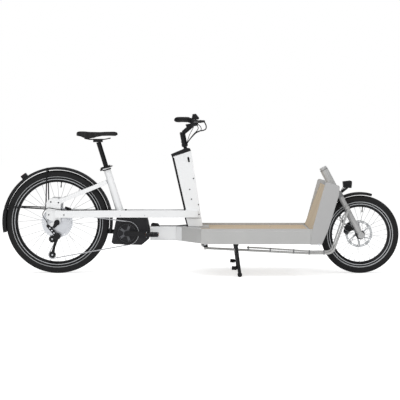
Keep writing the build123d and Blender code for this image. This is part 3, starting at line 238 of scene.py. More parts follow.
FINISHES = {
    paint: "side_beams seat_stays seat_tube tower",
    # The spine takes the darker white: painted shade.
    shaded_white_paint: "spine",
    grey: "flare_plates side_rails crossmembers gooseneck head_tube tie_rod",
    sheet_grey: "wall_panel wall_wings",
    fork_grey: "fork",
    crown_grey: "fork_crown",
    black_metal: "seat_clamp motor_bracket fender_stays derailleur stand_brackets light_bracket stand "
                 "brake_levers front_hub rear_hub cranks rear_caliper front_caliper",
    satin_black: "seat_post stem handlebar steering_column",
    plastic: "tower_cap rear_fender front_fender display headlight tail_light jockey_wheels "
             "right_pedal left_pedal",
    shell: "motor",
    ring_grey: "chainring",
    rubber: "frame_cables control_hoses fork_hose grips",
    steel: "cassette",
    chain_steel: "chain",
    disc_steel: "front_rotor rear_rotor",
    spoke_steel: "front_spokes rear_spokes",
    rim_black: "front_rim rear_rim",
    tread: "front_tyre rear_tyre",
    cover: "saddle",
    deck_wood: "deck",
    wall_wood: "wall_board",
}
for made, names in FINISHES.items():
    for name in names.split():
        for place in nodes[name].material_slots:
            place.material = made

# --- Mesh pieces ---


def arc_through(start, middle, end, count):
    """Points on the circle through three (x, y) places, both ends included."""
    (ax, ay), (bx, by), (cx, cy) = start, middle, end
    d = 2 * (ax * (by - cy) + bx * (cy - ay) + cx * (ay - by))
    ux = ((ax**2 + ay**2) * (by - cy) + (bx**2 + by**2) * (cy - ay) + (cx**2 + cy**2) * (ay - by)) / d
    uy = ((ax**2 + ay**2) * (cx - bx) + (bx**2 + by**2) * (ax - cx) + (cx**2 + cy**2) * (bx - ax)) / d
    radius = hypot(ax - ux, ay - uy)
    first, mid, last = (atan2(y - uy, x - ux) for x, y in (start, middle, end))
    turn = (last - first) % (2 * pi)
    if (mid - first) % (2 * pi) > turn:
        turn -= 2 * pi
    return [(ux + radius * cos(first + turn * i / (count - 1)), uy + radius
        * sin(first + turn * i / (count - 1))) for i in range(count)]


def around(centre, radius, angle, y=0.0):
    """Place on a circle about an (x, z) middle."""
    return Vector((centre[0] + radius * cos(angle), y, centre[1] + radius * sin(angle)))


class Shape:
    """Vertices and faces collected for one piece."""

    def __init__(self):
        self.verts, self.faces, self.kinds = [], [], []

    def skin(self, rows, closed=False, capped=True, kind=lambda row, column: 0):
        """Faces over rows of points, each row a closed ring."""
        start, count = len(self.verts), len(rows[0])
        for row in rows:
            self.verts.extend(row)
        for row in range(len(rows) if closed else len(rows) - 1):
            low, high = start + row * count, start + (row + 1) % len(rows) * count
            for column in range(count):
                after = (column + 1) % count
                self.faces.append((low + column, low + after, high + after, high + column))
                self.kinds.append(kind(row, column))
        if capped and not closed:
            top = start + (len(rows) - 1) * count
            self.faces.append(tuple(range(start, start + count)))
            self.faces.append(tuple(range(top, top + count)))
            self.kinds.extend((0, 0))

    def turn(self, origin, axis, profile, sides=20, closed=False, capped=True):
        """Revolves (along, radius) points about an axis."""
        axis = Vector(axis).normalized()
        one = axis.orthogonal().normalized()
        two = axis.cross(one)
        angles = [2 * pi * side / sides for side in range(sides)]
        spokes = [one * cos(a) + two * sin(a) for a in angles]
        self.skin([[Vector(origin) + axis * along + spoke * radius for spoke in spokes] for along,
            radius in profile], closed, capped)

    def tube(self, points, radius, sides=8):
        """Round bar along points, its section carried without twist."""
        points = [Vector(p) for p in points]
        heading = (points[1] - points[0]).normalized()
        one = heading.orthogonal().normalized()
        rows = []
        for place, point in enumerate(points):
            before, after = points[max(place - 1, 0)], points[min(place + 1, len(points) - 1)]
            heading = (after - before).normalized()
            one = (one - heading * one.dot(heading)).normalized()
            two = heading.cross(one)
            rows.append([point + (one * cos(a) + two * sin(a)) * radius
                for a in [2 * pi * side / sides for side in range(sides)]])
        self.skin(rows)

    def plate(self, outline, origin, across, up, thickness, kind=0):
        """Flat plate: an outline in (across, up) given a thickness along their cross product."""
        across, up = Vector(across).normalized(), Vector(up).normalized()
        out = across.cross(up) * thickness
        rows = [[Vector(origin) + across * x + up * y + step for x, y in outline] for step in (out * 0, out)]
        self.skin(rows, kind=lambda row, column: kind)

    def slab(self, outline, y, thickness):
        """Upright plate: an outline in (x, z) that reaches this far towards -Y from y."""
        self.plate(outline, (0, y, 0), (1, 0, 0), UP, thickness)

    def bolt(self, at, axis, radius, height):
        """Socket-head bolt with a chamfered head."""
        self.turn(at, axis, [(0, radius), (height * 0.72, radius), (height, radius * 0.82),
            (height, radius * 0.48), (height * 0.45, radius * 0.44)], 12)

    def nut(self, at, axis, radius, height):
        """Hexagon head on a washer."""
        self.turn(at, axis, [(0, radius * 1.35), (height * 0.2, radius * 1.35)], 16)
        self.turn(Vector(at) + Vector(axis).normalized() * height * 0.2, axis,
            [(0, radius), (height * 0.65, radius), (height * 0.8, radius * 0.86)], 6)

    def piece(self, name, body, *materials, replaces=None, slot=None, sharp=35):
        """Makes the object in metres, smooth shaded up to the sharp angle, riding on a body."""
        mesh = bpy.data.meshes.new(name)
        mesh.from_pydata([tuple(Vector(v) / 1000) for v in self.verts], [], self.faces)
        for material in materials:
            mesh.materials.append(material)
        mesh.polygons.foreach_set("material_index", self.kinds)
        work = bmesh.new()
        work.from_mesh(mesh)
        bmesh.ops.recalc_face_normals(work, faces=work.faces)
        work.to_mesh(mesh)
        work.free()
        mesh.polygons.foreach_set("use_smooth", [True] * len(mesh.polygons))
        mesh.set_sharp_from_angle(angle=radians(sharp))
        made = bpy.data.objects.new(name, mesh)
        bpy.context.scene.collection.objects.link(made)
        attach(made, body)
        if replaces:
            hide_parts(replaces)
        slot or SLOTS[materials[0]]
        return made


def oblong(wide, high):
    """Outline of a rectangle about its middle, from half its sides."""
    return [(-wide, -high), (wide, -high), (wide, high), (-wide, high)]


def hull_outline(first, first_r, second, second_r, steps=9):
    """Convex outline round two circles given by their middles and radii."""
    (ax, ay), (bx, by) = first, second
    heading = atan2(by - ay, bx - ax)
    lean = acos((first_r - second_r) / hypot(bx - ax, by - ay))
    far = [heading - lean + 2 * lean * i / steps for i in range(steps + 1)]
    near = [heading + lean + (2 * pi - 2 * lean) * i / steps for i in range(steps + 1)]
    return ([(bx + second_r * cos(a), by + second_r * sin(a)) for a in far]
        + [(ax + first_r * cos(a), ay + first_r * sin(a)) for a in near])


def rounded_route(points, steps=8):
    """Points on a smooth curve through the given ones."""
    points = [Vector(point) for point in points]
    ends = [points[0] * 2 - points[1], *points, points[-1] * 2 - points[-2]]
    route = []
    for a, b, c, d in zip(ends, ends[1:], ends[2:], ends[3:]):
        for step in range(steps):
            t = step / steps
            route.append(0.5 * (2 * b + (c - a) * t + (2 * a - 5 * b + 4 * c - d) * t**2
                + (3 * b - a - 3 * c + d) * t**3))
    return route + [points[-1]]


# --- Wheels ---


def tyre_section(outer, seat, width):
    """(Across, radius) ring of a tyre: side wall, crown, side wall, rim seat."""
    height = outer - seat
    bead, bulge = (0.36 * width, seat), (0.50 * width, seat + 0.42 * height)
    shoulder = (0.40 * width, outer - 0.13 * height)
    side = arc_through(bead, bulge, shoulder, 15)
    crown = arc_through(shoulder, (0, outer), (-shoulder[0], shoulder[1]), 19)
    other = [(-y, r) for y, r in reversed(side)]
    return side + crown[1:-1] + other, len(side) + 8


def tread_depth(step, from_middle):
    """Depth of the tread pattern: a sliced centre rib, rain grooves and slanted shoulder blocks."""
    if from_middle == 3:
        return 2
    if from_middle < 3:
        return 1.2 if (step + 2 * from_middle) % 8 == 0 else 0
    if from_middle < 9:
        return 2.4 if (step + from_middle) % 8 < 2 else 0
    return 0


def treaded_tyre(name, centre, outer, seat, width, blocks, stripe_r):
    """Tyre with its tread cut into the mesh, and a reflective line on both walls."""
    section, middle = tyre_section(outer, seat, width)
    steps = blocks * 8
    shape = Shape()
    rows = []
    for step in range(steps):
        angle = 2 * pi * step / steps
        row = []
        for place, (across, radius) in enumerate(section):
            radius -= tread_depth(step, abs(place - middle))
            row.append(around(centre, radius, angle, across))
        rows.append(row)

    def kind(row, column):
        after = (column + 1) % len(section)
        radius = (section[column][1] + section[after][1]) / 2
        outside = abs(section[column][0]) > 0.36 * width
        return 1 if outside and abs(radius - stripe_r) < 2.6 and column < len(section) - 1 else 0

    shape.skin(rows, closed=True, kind=kind)
    shape.piece(name + "_tyre_tread", name + "_wheel", tread, stripe, replaces=name + "_tyre", sharp=28)


treaded_tyre("rear", REAR, 340, 287, 55, 88, 297.5)
treaded_tyre("front", FRONT, 257, 209, 50, 66, 214)


def rim_highlight_lines(name, centre, half, low, high):
    """Silver ring round both walls of a rim: a painted highlight along the rim's edge."""
    ring = Shape()
    for side in (1, -1):
        ring.turn((centre[0], side * half, centre[1]), (0, side, 0), [(0, low), (0.3, low + 0.3),
            (0.3, high - 0.3), (0, high)], 128, closed=True)
    ring.piece(name + "_rim_highlight_lines", name + "_wheel", rim_highlight_silver)


rim_highlight_lines("rear", REAR, 18.15, 279.5, 283.2)
rim_highlight_lines("front", FRONT, 16.5, 198.5, 202.5)


def laced_wheel(name, centre, flanges, hole_r, rim_r):
    """Spokes with bent heads and nipples, and the valve."""
    body = name + "_wheel"
    wires, nipples = Shape(), Shape()
    for index in range(SPOKES):
        side, outside = index % 2, index % 4 < 2
        flange_y = flanges[side]
        outward = 1 if flange_y > 0 else -1
        offset = 4.1 if outside else -2.8
        lead, end_y = (67.5, 5 * outward) if outside else (-67.5, 3 * outward)
        rim_angle = radians(index * 360 / SPOKES)
        hub_angle = rim_angle - radians(lead)
        start = around(centre, hole_r, hub_angle, flange_y + outward * offset)
        end = around(centre, rim_r, rim_angle, end_y)
        run = (end - start).normalized()
        through = Vector((0, -outward if outside else outward, 0))
        elbow = start + through * 1.2
        wires.tube([elbow + through * 4.5, elbow, start + run * 1.2, start + run * 4, end - run * 1], 1.05, 8)
        wires.turn(elbow + through * 4.2, through, [(0, 1.2), (0.4, 2), (1.2, 1.8)], 10)
        nipples.turn(end - run * 13, run, [(0, 1.4), (1, 2), (9, 2.1), (10.5, 2.7), (13.5, 2.7)], 10)
    wires.piece(name + "_spokes_drawn", body, spoke_steel, replaces=name + "_spokes")
    nipples.piece(name + "_nipples", body, steel)
    angle = radians(84.375)
    valve = Shape()
    valve.turn(around(centre, rim_r, angle), around((0, 0), -1, angle),
        [(0, 6), (2, 6), (2.5, 3.2), (20, 3.1), (20.5, 4.2), (34, 4), (36, 3)], 14)
    valve.piece(name + "_valve", body, rubber)


laced_wheel("rear", REAR, (-22.5, 32.5), 25, 262.7)
laced_wheel("front", FRONT, (-28, 28), 21.5, 181.7)


def rotor_bolts(name, centre, y, ring):
    """Six bolts that hold a brake disc to its hub."""
    shape = Shape()
    for index in range(6):
        shape.bolt(around(centre, ring, radians(60 * index + 30), y), LEFT, 3.6, 3)
    shape.piece(name + "_rotor_bolts", name + "_wheel", steel)


rotor_bolts("rear", REAR, 48.9, 25)
rotor_bolts("front", FRONT, 40.9, 22.8)

# --- Drive ---


def pitch_radius(teeth):
    return CHAIN_PITCH / 2 / sin(pi / teeth)


def chain_tangent(first, second):
    """Ends of the straight run between two wheels (x, z, radius); radius > 0 turns left."""
    away = Vector((second[0] - first[0], second[1] - first[1]))
    heading = atan2(away.y, away.x) - asin((second[2] - first[2]) / away.length)
    left = (-sin(heading), cos(heading))
    return [(c[0] - left[0] * c[2], c[1] - left[1] * c[2]) for c in (first, second)]


def chain_line():
    """Dense closed line of the chain's pins, starting where a roller sits in the chainring."""
    wheels = [(*CRANK, -pitch_radius(CHAINRING_TEETH)), (*LOWER_PULLEY, -pitch_radius(PULLEY_TEETH)),
        (*UPPER_PULLEY, pitch_radius(PULLEY_TEETH)), (*REAR, -pitch_radius(SPROCKET_TEETH))]
    runs = [chain_tangent(wheels[place - 1], wheels[place]) for place in range(4)]
    line = []
    for place, (x, z, radius) in enumerate(wheels):
        start, arrive = runs[place]
        leave = runs[(place + 1) % 4][0]
        count = int(dist(start, arrive) / 2)
        line += [(start[0] + (arrive[0] - start[0]) * i / count, start[1] + (arrive[1] - start[1]) * i / count)
            for i in range(count)]
        way = 1 if radius > 0 else -1
        turn_in, turn_out = (atan2(p[1] - z, p[0] - x) for p in (arrive, leave))
        turn = way * ((way * (turn_out - turn_in)) % (2 * pi))
        count = int(abs(turn) * abs(radius) / 2)
        line += [(x + abs(radius) * cos(turn_in + turn * i / count), z + abs(radius)
            * sin(turn_in + turn * i / count)) for i in range(count)]
    return line


def even_points(line, pitch):
    """Points an even number of equal steps apart round a closed line."""
    lengths = [dist(line[i], line[(i + 1) % len(line)]) for i in range(len(line))]
    total = sum(lengths)
    count = 2 * round(total / pitch / 2)
    points, place, done = [], 0, 0.0
    for index in range(count):
        target = total * index / count
        while done + lengths[place] < target:
            done += lengths[place]
            place += 1
        share = (target - done) / lengths[place]
        a, b = line[place], line[(place + 1) % len(line)]
        points.append((a[0] + (b[0] - a[0]) * share, a[1] + (b[1] - a[1]) * share))
    return points


def link_outline(length, radius, waist):
    """Side plate of a chain link round two pins."""
    outline = [(radius * cos(a), radius * sin(a)) for a in [radians(60 + 40 * i) for i in range(7)]]
    outline.append((length / 2, -waist))
    outline += [(length + radius * cos(a), radius * sin(a)) for a in [radians(-120 + 40 * i) for i in range(7)]]
    outline.append((length / 2, waist))
    return outline


def roller_chain():
    pins = even_points(chain_line(), CHAIN_PITCH)
    plates, rollers = Shape(), Shape()
    for index, (x, z) in enumerate(pins):
        after = pins[(index + 1) % len(pins)]
        along = Vector((after[0] - x, 0, after[1] - z))
        up = Vector(RIGHT).cross(along).normalized()
        inner = index % 2
        near, thick = (1.25 if inner else 2), 0.7
        outline = link_outline(along.length, 4.1 if inner else 3.8, 3 if inner else 2.6)
        for y in (CHAIN_Y + near + thick, CHAIN_Y - near):
            plates.plate(outline, (x, y, z), along, up, thick)
        rollers.turn((x, CHAIN_Y - 1.2, z), LEFT, [(0, 3.7), (2.4, 3.7)], 10)
        rollers.turn((x, CHAIN_Y - 2.9, z), LEFT, [(0, 1.4), (0.2, 1.7), (5.6, 1.7), (5.8, 1.4)], 8)
    plates.piece("chain_links", "chassis", chain_steel, replaces="chain", sharp=30)
    rollers.piece("chain_rollers", "chassis", chain_steel)


roller_chain()


def crank_hardware():
    bolts = Shape()
    for index in range(5):
        bolts.bolt(around(CRANK, 53.5, radians(72 * index), CHAIN_Y - 0.8), RIGHT, 5.2, 3)
    for side in (1, -1):
        bolts.turn((CRANK[0], side * 92, CRANK[1]), (0, side, 0), [(0, 12.5), (1.2, 12), (1.2, 8.5), (0.6, 8.5),
            (0.6, 4.5)], 24)
    bolts.piece("chainring_bolts", "crankset", black_metal)
    guard = Shape()
    guard.turn((CRANK[0], CHAIN_Y - 5.2, CRANK[1]), RIGHT, [(0, 60), (0, 75.8), (0.7, 76.8), (1.5, 76.8),
        (2.2, 75.8), (2.2, 60.8), (1.6, 60)], 96, closed=True)
    for index in range(5):
        place = around(CRANK, 64.5, radians(72 * index + 36), CHAIN_Y - 0.8)
        guard.turn(place, RIGHT, [(0, 4.2), (4.6, 4.2)], 14)
        guard.bolt(place - Vector((0, 6.6, 0)), RIGHT, 3.4, 1.6)
    guard.piece("chain_guard_ring", "crankset", plastic, sharp=30)
    for name, side, x in (("right", -1, CRANK[0] + CRANK_LENGTH), ("left", 1, CRANK[0] - CRANK_LENGTH)):
        low = side * 96
        pins, glass = Shape(), Shape()
        for along in (-37, 37):
            for step in range(5):
                y = low + side * (10 + 18 * step)
                for up in (1, -1):
                    pins.turn((x + along, y, CRANK[1] + up * 11.8), (0, 0, up),
                        [(0, 2.2), (1, 2.1), (1, 1.6), (2.8, 1.5)], 8)
            out = 1 if along > 0 else -1
            glass.plate(oblong(22, 6), (x + along + out * 4.9, low + side * 46, CRANK[1]), (0, out, 0), UP, 1.2)
        pins.piece(name + "_pedal_pins", name + "_pedal", steel)
        glass.piece(name + "_pedal_reflectors", name + "_pedal", amber)


crank_hardware()

# --- Saddle ---


def eased(points, at):
    """Smooth value between (place, value) points."""
    for (a, low), (b, high) in zip(points, points[1:]):
        if at <= b:
            share = min(1.0, max(0.0, (at - a) / (b - a)))
            share = share * share * (3 - 2 * share)
            return low + (high - low) * share
    return points[-1][1]


SADDLE_X = ahead(458 - 190.4)
SADDLE_HALF = [(-140, 12), (-136, 46), (-124, 68), (-104, 76.5), (-78, 71), (-48, 54), (-18, 37), (22, 26),
    (62, 21), (100, 19), (120, 16), (127, 10), (129, 4)]
SADDLE_TOP = [(-140, 925), (-134, 932), (-122, 936), (-100, 936), (-50, 932.5), (10, 931.5), (60, 933.5),
    (105, 934), (122, 931), (129, 923)]
SADDLE_SKIRT = [(-140, 913), (-132, 908), (-112, 905), (-84, 895), (-60, 889), (-34, 893), (-6, 901), (30, 907),
    (75, 908), (112, 907), (129, 913)]


def saddle_ring(at, count):
    """Half-and-half ring of the saddle's section: crowned top, rolled edge, flank and underside."""
    half, top, low = (eased(table, at) for table in (SADDLE_HALF, SADDLE_TOP, SADDLE_SKIRT))
    groove = 1.8 * exp(-((at + 30) / 70) ** 4)
    ring = []
    for step in range(count + 1):
        share = step / count
        across = half * sin(share * pi / 2)
        sag = (half * 0.10 + 1.5) * share**2.6 + 6.0 * max(0.0, share - 0.78) ** 1.2 * 2.2
        dip = groove * exp(-(across / 7.5) ** 2)
        ring.append((across, top - sag - dip))
    edge_y, edge_z = ring[-1]
    for share in (0.12, 0.28, 0.48, 0.70, 0.90, 1.0):
        tuck = 0.5 * sin(share * pi) + 1.6 * share**2
        ring.append((max(1.0, edge_y + 1.1 * sin(share * pi) - tuck), edge_z + (low - edge_z) * share))
    under = max(0.6, ring[-1][0] - 3.0)
    ring.append((under, low + 0.8))
    ring.append((under * 0.82, low + (edge_z - low) * 0.55))
    ring.append((0, low + (edge_z - low) * 0.62))
    right = [(-y, z) for y, z in reversed(ring[1:-1])]
    return ring + right


def saddle_pieces():
    count = 22
    places = [-140 + 269 * i / 84 for i in range(85)]
    rings = [saddle_ring(at, count) for at in places]
    rows = [[(SADDLE_X + at, y, z) for y, z in ring] for at, ring in zip(places, rings)]
    flank = count + 6

    def kind(row, column):
        middle = len(rings[0]) - 1
        near = min(column, middle - column)
        return 1 if near >= flank else 0

    body = Shape()
    body.skin(rows, kind=kind)
    padded = body.piece("saddle_cushion", "chassis", cover, plastic, replaces="saddle", sharp=70)
    seams = Shape()
    for side in (1, -1):
        line = []
        for at, ring in zip(places[3:-3], rings[3:-3]):
            y, z = ring[count - 4]
            line.append(Vector((SADDLE_X + at, side * (y + 0.15), z + 0.25)))
        seams.tube(line, 0.55, 6)
        for a, b in zip(line, line[1:]):
            for share in (0.12, 0.62):
                out = Vector((0, side * 2.2, -0.4))
                seams.tube([a.lerp(b, share) + out, a.lerp(b, share + 0.34) + out], 0.4, 5)
    seams.piece("saddle_seams", "chassis", thread)
    edge = Shape()
    loop = [(SADDLE_X + at, ring[flank][0], ring[flank][1]) for at, ring in zip(places, rings)]
    back = [(x, -y, z) for x, y, z in reversed(loop)]
    edge.tube(loop + back + [loop[0]], 1.1, 8)
    edge.piece("saddle_edge_bead", "chassis", plastic, slot="rubber")


saddle_pieces()

# --- Cockpit ---


def handlebar_end(side):
    """Outer end of a grip, the inner end of its straight stretch, and the way in between them."""
    tip, root = Vector((past(332), side * 325, 1014)), Vector((past(408), side * 180, 1012))
    return tip, root, (root - tip).normalized()


def grips():
    for side, name in ((1, "left"), (-1, "right")):
        tip, _, inward = handlebar_end(side)
        rubber_grip, collars = Shape(), Shape()
        cross = Vector((-0.94, 0, -0.34))
        cross = (cross - inward * cross.dot(inward)).normalized()
        level = inward.cross(cross)
        rows = []
        for station in range(61):
            run = 1 + 118 * station / 60
            share = min(1.0, run / 119)
            cap = min(1.0, station / 3) ** 0.5
            rib = 0.5 * sin(station * pi / 2) if 6 < station < 57 else 0
            base = 15.8 + 0.9 * sin(pi * share) + rib
            palm = 2 + 7.5 * exp(-((share - 0.22) / 0.20) ** 2)
            row = []
            for step in range(28):
                a = 2 * pi * step / 28
                lobe = max(0.0, cos(a)) ** 2.2 * palm
                flat = 1 - 0.16 * (1 - share) * abs(sin(a))
                radius = (base * flat + lobe) * cap
                row.append(tip + inward * run + cross * radius * cos(a) + level * radius * sin(a))
            rows.append(row)
        rubber_grip.skin(rows)
        rubber_grip.piece(name + "_grip_ribbed", "handlebar", rubber, replaces="grips", sharp=40)
        collars.turn(tip + inward * 119.5, inward, [(0, 11.8), (0, 16.6), (1.2, 17.2), (9, 17.2), (10.2, 16.4),
            (10.2, 11.8)], 28)
        collars.bolt(tip + inward * 124.6 + Vector((15.2, 0, -6.8)), (0.9, 0, -0.4), 2.8, 2.4)
        collars.piece(name + "_grip_collar", "handlebar", satin_black)


def controls():
    """Clamps with their cylinders, levers' pivots and the shifter."""
    clamps, barrels = Shape(), Shape()
    for side in (1, -1):
        _, root, inward = handlebar_end(side)
        clamp_at = root - inward * 4
        clamps.turn(clamp_at, -inward, [(0, 11.3), (0, 16), (1.4, 16.8), (15, 16.8), (16.4, 16), (16.4, 11.3)],
            24)
        clamps.bolt(clamp_at - inward * 8 + Vector((-16, 0, 1)), (-1, 0, 0.1), 2.6, 2.6)
        start, end = Vector((past(447), side * 157, 998)), Vector((past(513), side * 166, 1002))
        along = (end - start).normalized()
        barrels.turn(start, along, [(0, 6), (4, 8.6), (30, 9), (34, 9.8), (40, 9.8), (44, 8), (58, 7.6),
            (60, 5.8), (65.5, 5.4), (66.3, 4)], 20)
        barrels.turn((past(469.5), side * 180.2, 1002), (1, side * -0.25, -0.06),
            [(0, 5), (2, 5.6), (12, 5), (18, 3.6), (26, 3.2)], 14)
        barrels.turn((past(452), side * 166.5, 1012.5), UP, [(0, 4.6), (2.2, 4.6), (2.8, 3.8), (2.8, 2.2),
            (1.4, 2)], 14)
        clamps.slab(hull_outline((past(414), 1007.5), 16.5, (past(457), 993.5), 12.5),
            173 if side > 0 else -151, 22)
    pod = Vector((past(436), -150, 989.5))
    clamps.turn(pod, (0.10, -1, 0.04), [(0, 13), (1.5, 17.5), (8, 19.2), (20, 19.2), (26.2, 17), (28, 12),
        (26.5, 10)], 26)
    for step, reach in ((0, 36), (1, 30)):
        foot = (pod.x - 4 - 10 * step, pod.z - 8)
        clamps.slab(hull_outline(foot, 6, (foot[0] - reach, foot[1] - 12 + 8 * step), 4.8),
            pod.y - 4 - 10 * step, 3.4)
    clamps.piece("lever_clamps", "handlebar", plastic)
    barrels.piece("master_cylinders", "handlebar", shell)


def display_and_buttons():
    glass = Shape()
    normal = Vector((-0.985, 0, 0.174))
    across, up = Vector(RIGHT), Vector((0.174, 0, 0.985))
    rounded = []
    for cx, cy, start in ((23, 10.5, 0), (-23, 10.5, 90), (-23, -10.5, 180), (23, -10.5, 270)):
        rounded += [(cx + 4 * cos(radians(start + 18 * i)), cy + 4 * sin(radians(start + 18 * i)))
            for i in range(6)]
    glass.plate(rounded, Vector((past(429), 0, 1032)) + normal * 0.8, across, up, 0.7)
    glass.piece("display_screen", "handlebar", screen)
    buttons = Shape()
    for index in range(3):
        at = Vector((past(429), -16 + 16 * index, 1018.5)) + normal * 0.4
        buttons.turn(at, normal, [(0, 4.2), (1.2, 4), (1.6, 3.4)], 16)
    base = Vector((past(418), 146, 1010))
    buttons.turn(base, (-0.5, 0.9, 0), [(0, 11.5), (0, 15), (1, 15.7), (20, 15.7), (21, 15), (21, 11.5)], 22)
    for index in range(3):
        buttons.turn(base + Vector((-13 - 3.6 * index, 2.8 + 6.5 * index, 8.8)), (-0.72, 0, 0.72),
            [(0, 3.4), (2, 3.2), (2.4, 2.6)], 14)
    buttons.piece("control_buttons", "handlebar", rubber)


def stem_hardware():
    hardware = Shape()
    for x, z in ((past(447) + 15.5, 992 + 16.8), (past(447) + 16.8, 992 - 15.5)):
        for side in (1, -1):
            hardware.bolt((x, side * 18.5, z), (x - past(447), 0, z - 992), 3.4, 3.4)
    for up_by in (16, 34):
        hardware.bolt(COLUMN_FOOT + COLUMN * up_by + Vector((-17.2, 0, -3.3)), (-1, 0, -0.19), 3.2, 3.2)
        hardware.turn(COLUMN_FOOT + COLUMN * up_by + Vector((0, -17.6, 0)), RIGHT, [(0, 3.4), (1.2, 3)], 12)
    hardware.turn(COLUMN_FOOT + COLUMN * 95.3, COLUMN, [(0, 16.8), (3, 16), (4, 11), (3, 4.5)], 24)
    hardware.piece("stem_hardware", "handlebar", black_metal)


grips()
controls()
display_and_buttons()
stem_hardware()


def lever_blades():
    """Curved two-finger brake levers with a ball end."""
    blades = Shape()
    for side in (1, -1):
        path = rounded_route([(past(x), side * y, z) for x, y, z in ((452, 160, 1002), (466, 174, 1002),
            (468, 192, 1001.5), (459, 222, 1000), (447, 258, 998.5), (438, 286, 998.5), (437, 299, 999))], 6)
        rows = []
        for place, point in enumerate(path):
            share = place / (len(path) - 1)
            heading = (path[min(place + 1, len(path) - 1)] - path[max(place - 1, 0)]).normalized()
            flat = heading.cross(Vector(UP)).normalized()
            upward = flat.cross(heading)
            ball = 2.2 * exp(-((share - 0.955) / 0.035) ** 2)
            close = min(1.0, (1 - share) / 0.03 + 0.45, share / 0.03 + 0.6)
            wide, tall = (5 - 1.6 * share + ball) * close, (7.8 - 3.4 * share + ball) * close
            rows.append([point + flat * wide * cos(radians(20 * step)) + upward * tall * sin(radians(20 * step))
                for step in range(18)])
        blades.skin(rows)
        blades.turn((past(460), side * 166.5, 1011.5), (0, 0, -1), [(0, 3.6), (0.8, 4.4), (19, 4.4),
            (19.8, 3.6)], 16)
    blades.piece("lever_blades", "handlebar", satin_black, replaces="brake_levers")


lever_blades()

# --- Frame hardware ---


def frame_hardware():
    dark, bright, rubberish, white_band, stays = (Shape() for _ in range(5))
    for angle in FENDER_STAYS:
        rows = []
        for step in (-0.9, 0.9):
            ring = [(-31.8, 343), (-31.8, 360), (-25, 363.2), (25, 363.2), (31.8, 360), (31.8, 343),
                (31.1, 343), (31.1, 359.2), (24.6, 362.4), (-24.6, 362.4), (-31.1, 359.2), (-31.1, 343)]
            rows.append([around(REAR, radius, radians(angle + step), across) for across, radius in ring])
        dark.skin(rows)
    for side in (1, -1):
        for x, z in ((437.9, 628.3), (413, 556.8), (424.8, 492.6), (470.7, 456.5), (392.6, 392.3),
                (474, 392.3)):
            dark.bolt((past(x), side * 53.7, z), (0, side, 0), 4.2, 2.4)
        for x, z in ((14.4, 471.6), (-36, 476), (-50, 392)):
            dark.bolt((ahead(x), side * 84, z), (0, side, 0), 4.8, 2.8)
        dark.bolt((ahead(50.3), side * 92, 391.3), (0, side, 0), 4.4, 2.8)
        bright.nut((fore(55.6), side * 260.2, 213.2), (0, side, 0), 5, 4)
        bright.bolt((past(-42), side * 70, 386), (0, side, 0), 4.2, 2.6)
        bright.bolt((past(118), side * 70, 386), (0, side, 0), 4.2, 2.6)
        for angle in FENDER_STAYS:
            tip = around(REAR, 352, radians(angle), side * 33.8)
            stays.tube([(ahead(-68.8), side * 80, 430), tip], 4.2, 12)
            dark.turn(tip, (0, side, 0), [(-2, 5.2), (3.2, 5.2), (4.2, 4.4), (4.6, 3)], 16)
    cover_line = []
    for end, start in ((1, 0), (-1, 180)):
        for step in range(10):
            a = radians(start + 20 * step)
            cover_line.append((6.2 * cos(a), 11.5 * end + 6.2 * sin(a)))
    rubberish.plate(cover_line, (past(406), -53.8, 752), (cos(COLUMN_LEAN), 0, sin(COLUMN_LEAN)), COLUMN, 1.4)
    seam = [(past(390), 366.9), (past(489), 366.9), (past(489), 369.6), (past(390), 369.6)]
    for y in (53.7, -53.1):
        rubberish.slab(seam, y, 0.6)
    seat_line = Vector((-82, 0, 268)).normalized()
    foot = Vector((past(-131), 0, 682))
    white_band.turn(foot + seat_line * 7.2, seat_line, [(0, 29.3), (0, 29.7), (9.5, 29.7), (9.5, 29.3)], 40,
        capped=False, closed=True)
    dark.turn(foot + seat_line * 22.8, seat_line, [(0, 16.5), (0, 30), (1, 30.6), (3.4, 30.6), (4.4, 29.8),
        (4.4, 16.5)], 36, closed=True)
    dark.tube([foot + seat_line * 14 + Vector((-26, -16, 0)), foot + seat_line * 15 + Vector((-10, -32.5, 0)),
        foot + seat_line * 21 + Vector((18, -34.5, 0)), foot + seat_line * 30 + Vector((46, -31, 0))], 4.2, 12)
    dark.turn(foot + seat_line * 12.8 + Vector((-34, -19.5, -1)), LEFT, [(0, 4.2), (1, 5), (38, 5), (39, 4.2)],
        14)
    for x, z in ((-58, 343), (118, 349), (128, 252), (-74, 212), (20, 196), (84, 196)):
        dark.bolt((past(x), 55.1, z), LEFT, 3.6, 2.4)
        dark.bolt((past(x), -41.1, z), RIGHT, 3.6, 2.4)
    bright.nut((REAR[0], 84.2, REAR[1]), LEFT, 9.2, 8)
    dark.nut((REAR[0] + 4, -94, REAR[1] + 1), RIGHT, 7.8, 5)
    for x, z in ((44, 432), (72, 386)):
        dark.bolt((ahead(x), 77.7, z), LEFT, 4.4, 3)
    for x, y in ((195, -66.5), (130, -78.2)):
        rubberish.tube([(ahead(x), y - 2.8, 419.2), (ahead(x), y - 3.6, 422.2), (ahead(x), y, 425),
            (ahead(x), y + 3.6, 422.2), (ahead(x), y + 2.8, 419.2)], 1.1, 8)
    stays.piece("fender_stay_wires", "chassis", plastic, replaces="fender_stays", slot="black_metal")
    dark.piece("frame_fittings_dark", "chassis", black_metal)
    bright.piece("frame_bolts", "chassis", steel)
    rubberish.piece("cable_clips", "chassis", rubber)
    white_band.piece("seat_clamp_band", "chassis", paint)


frame_hardware()


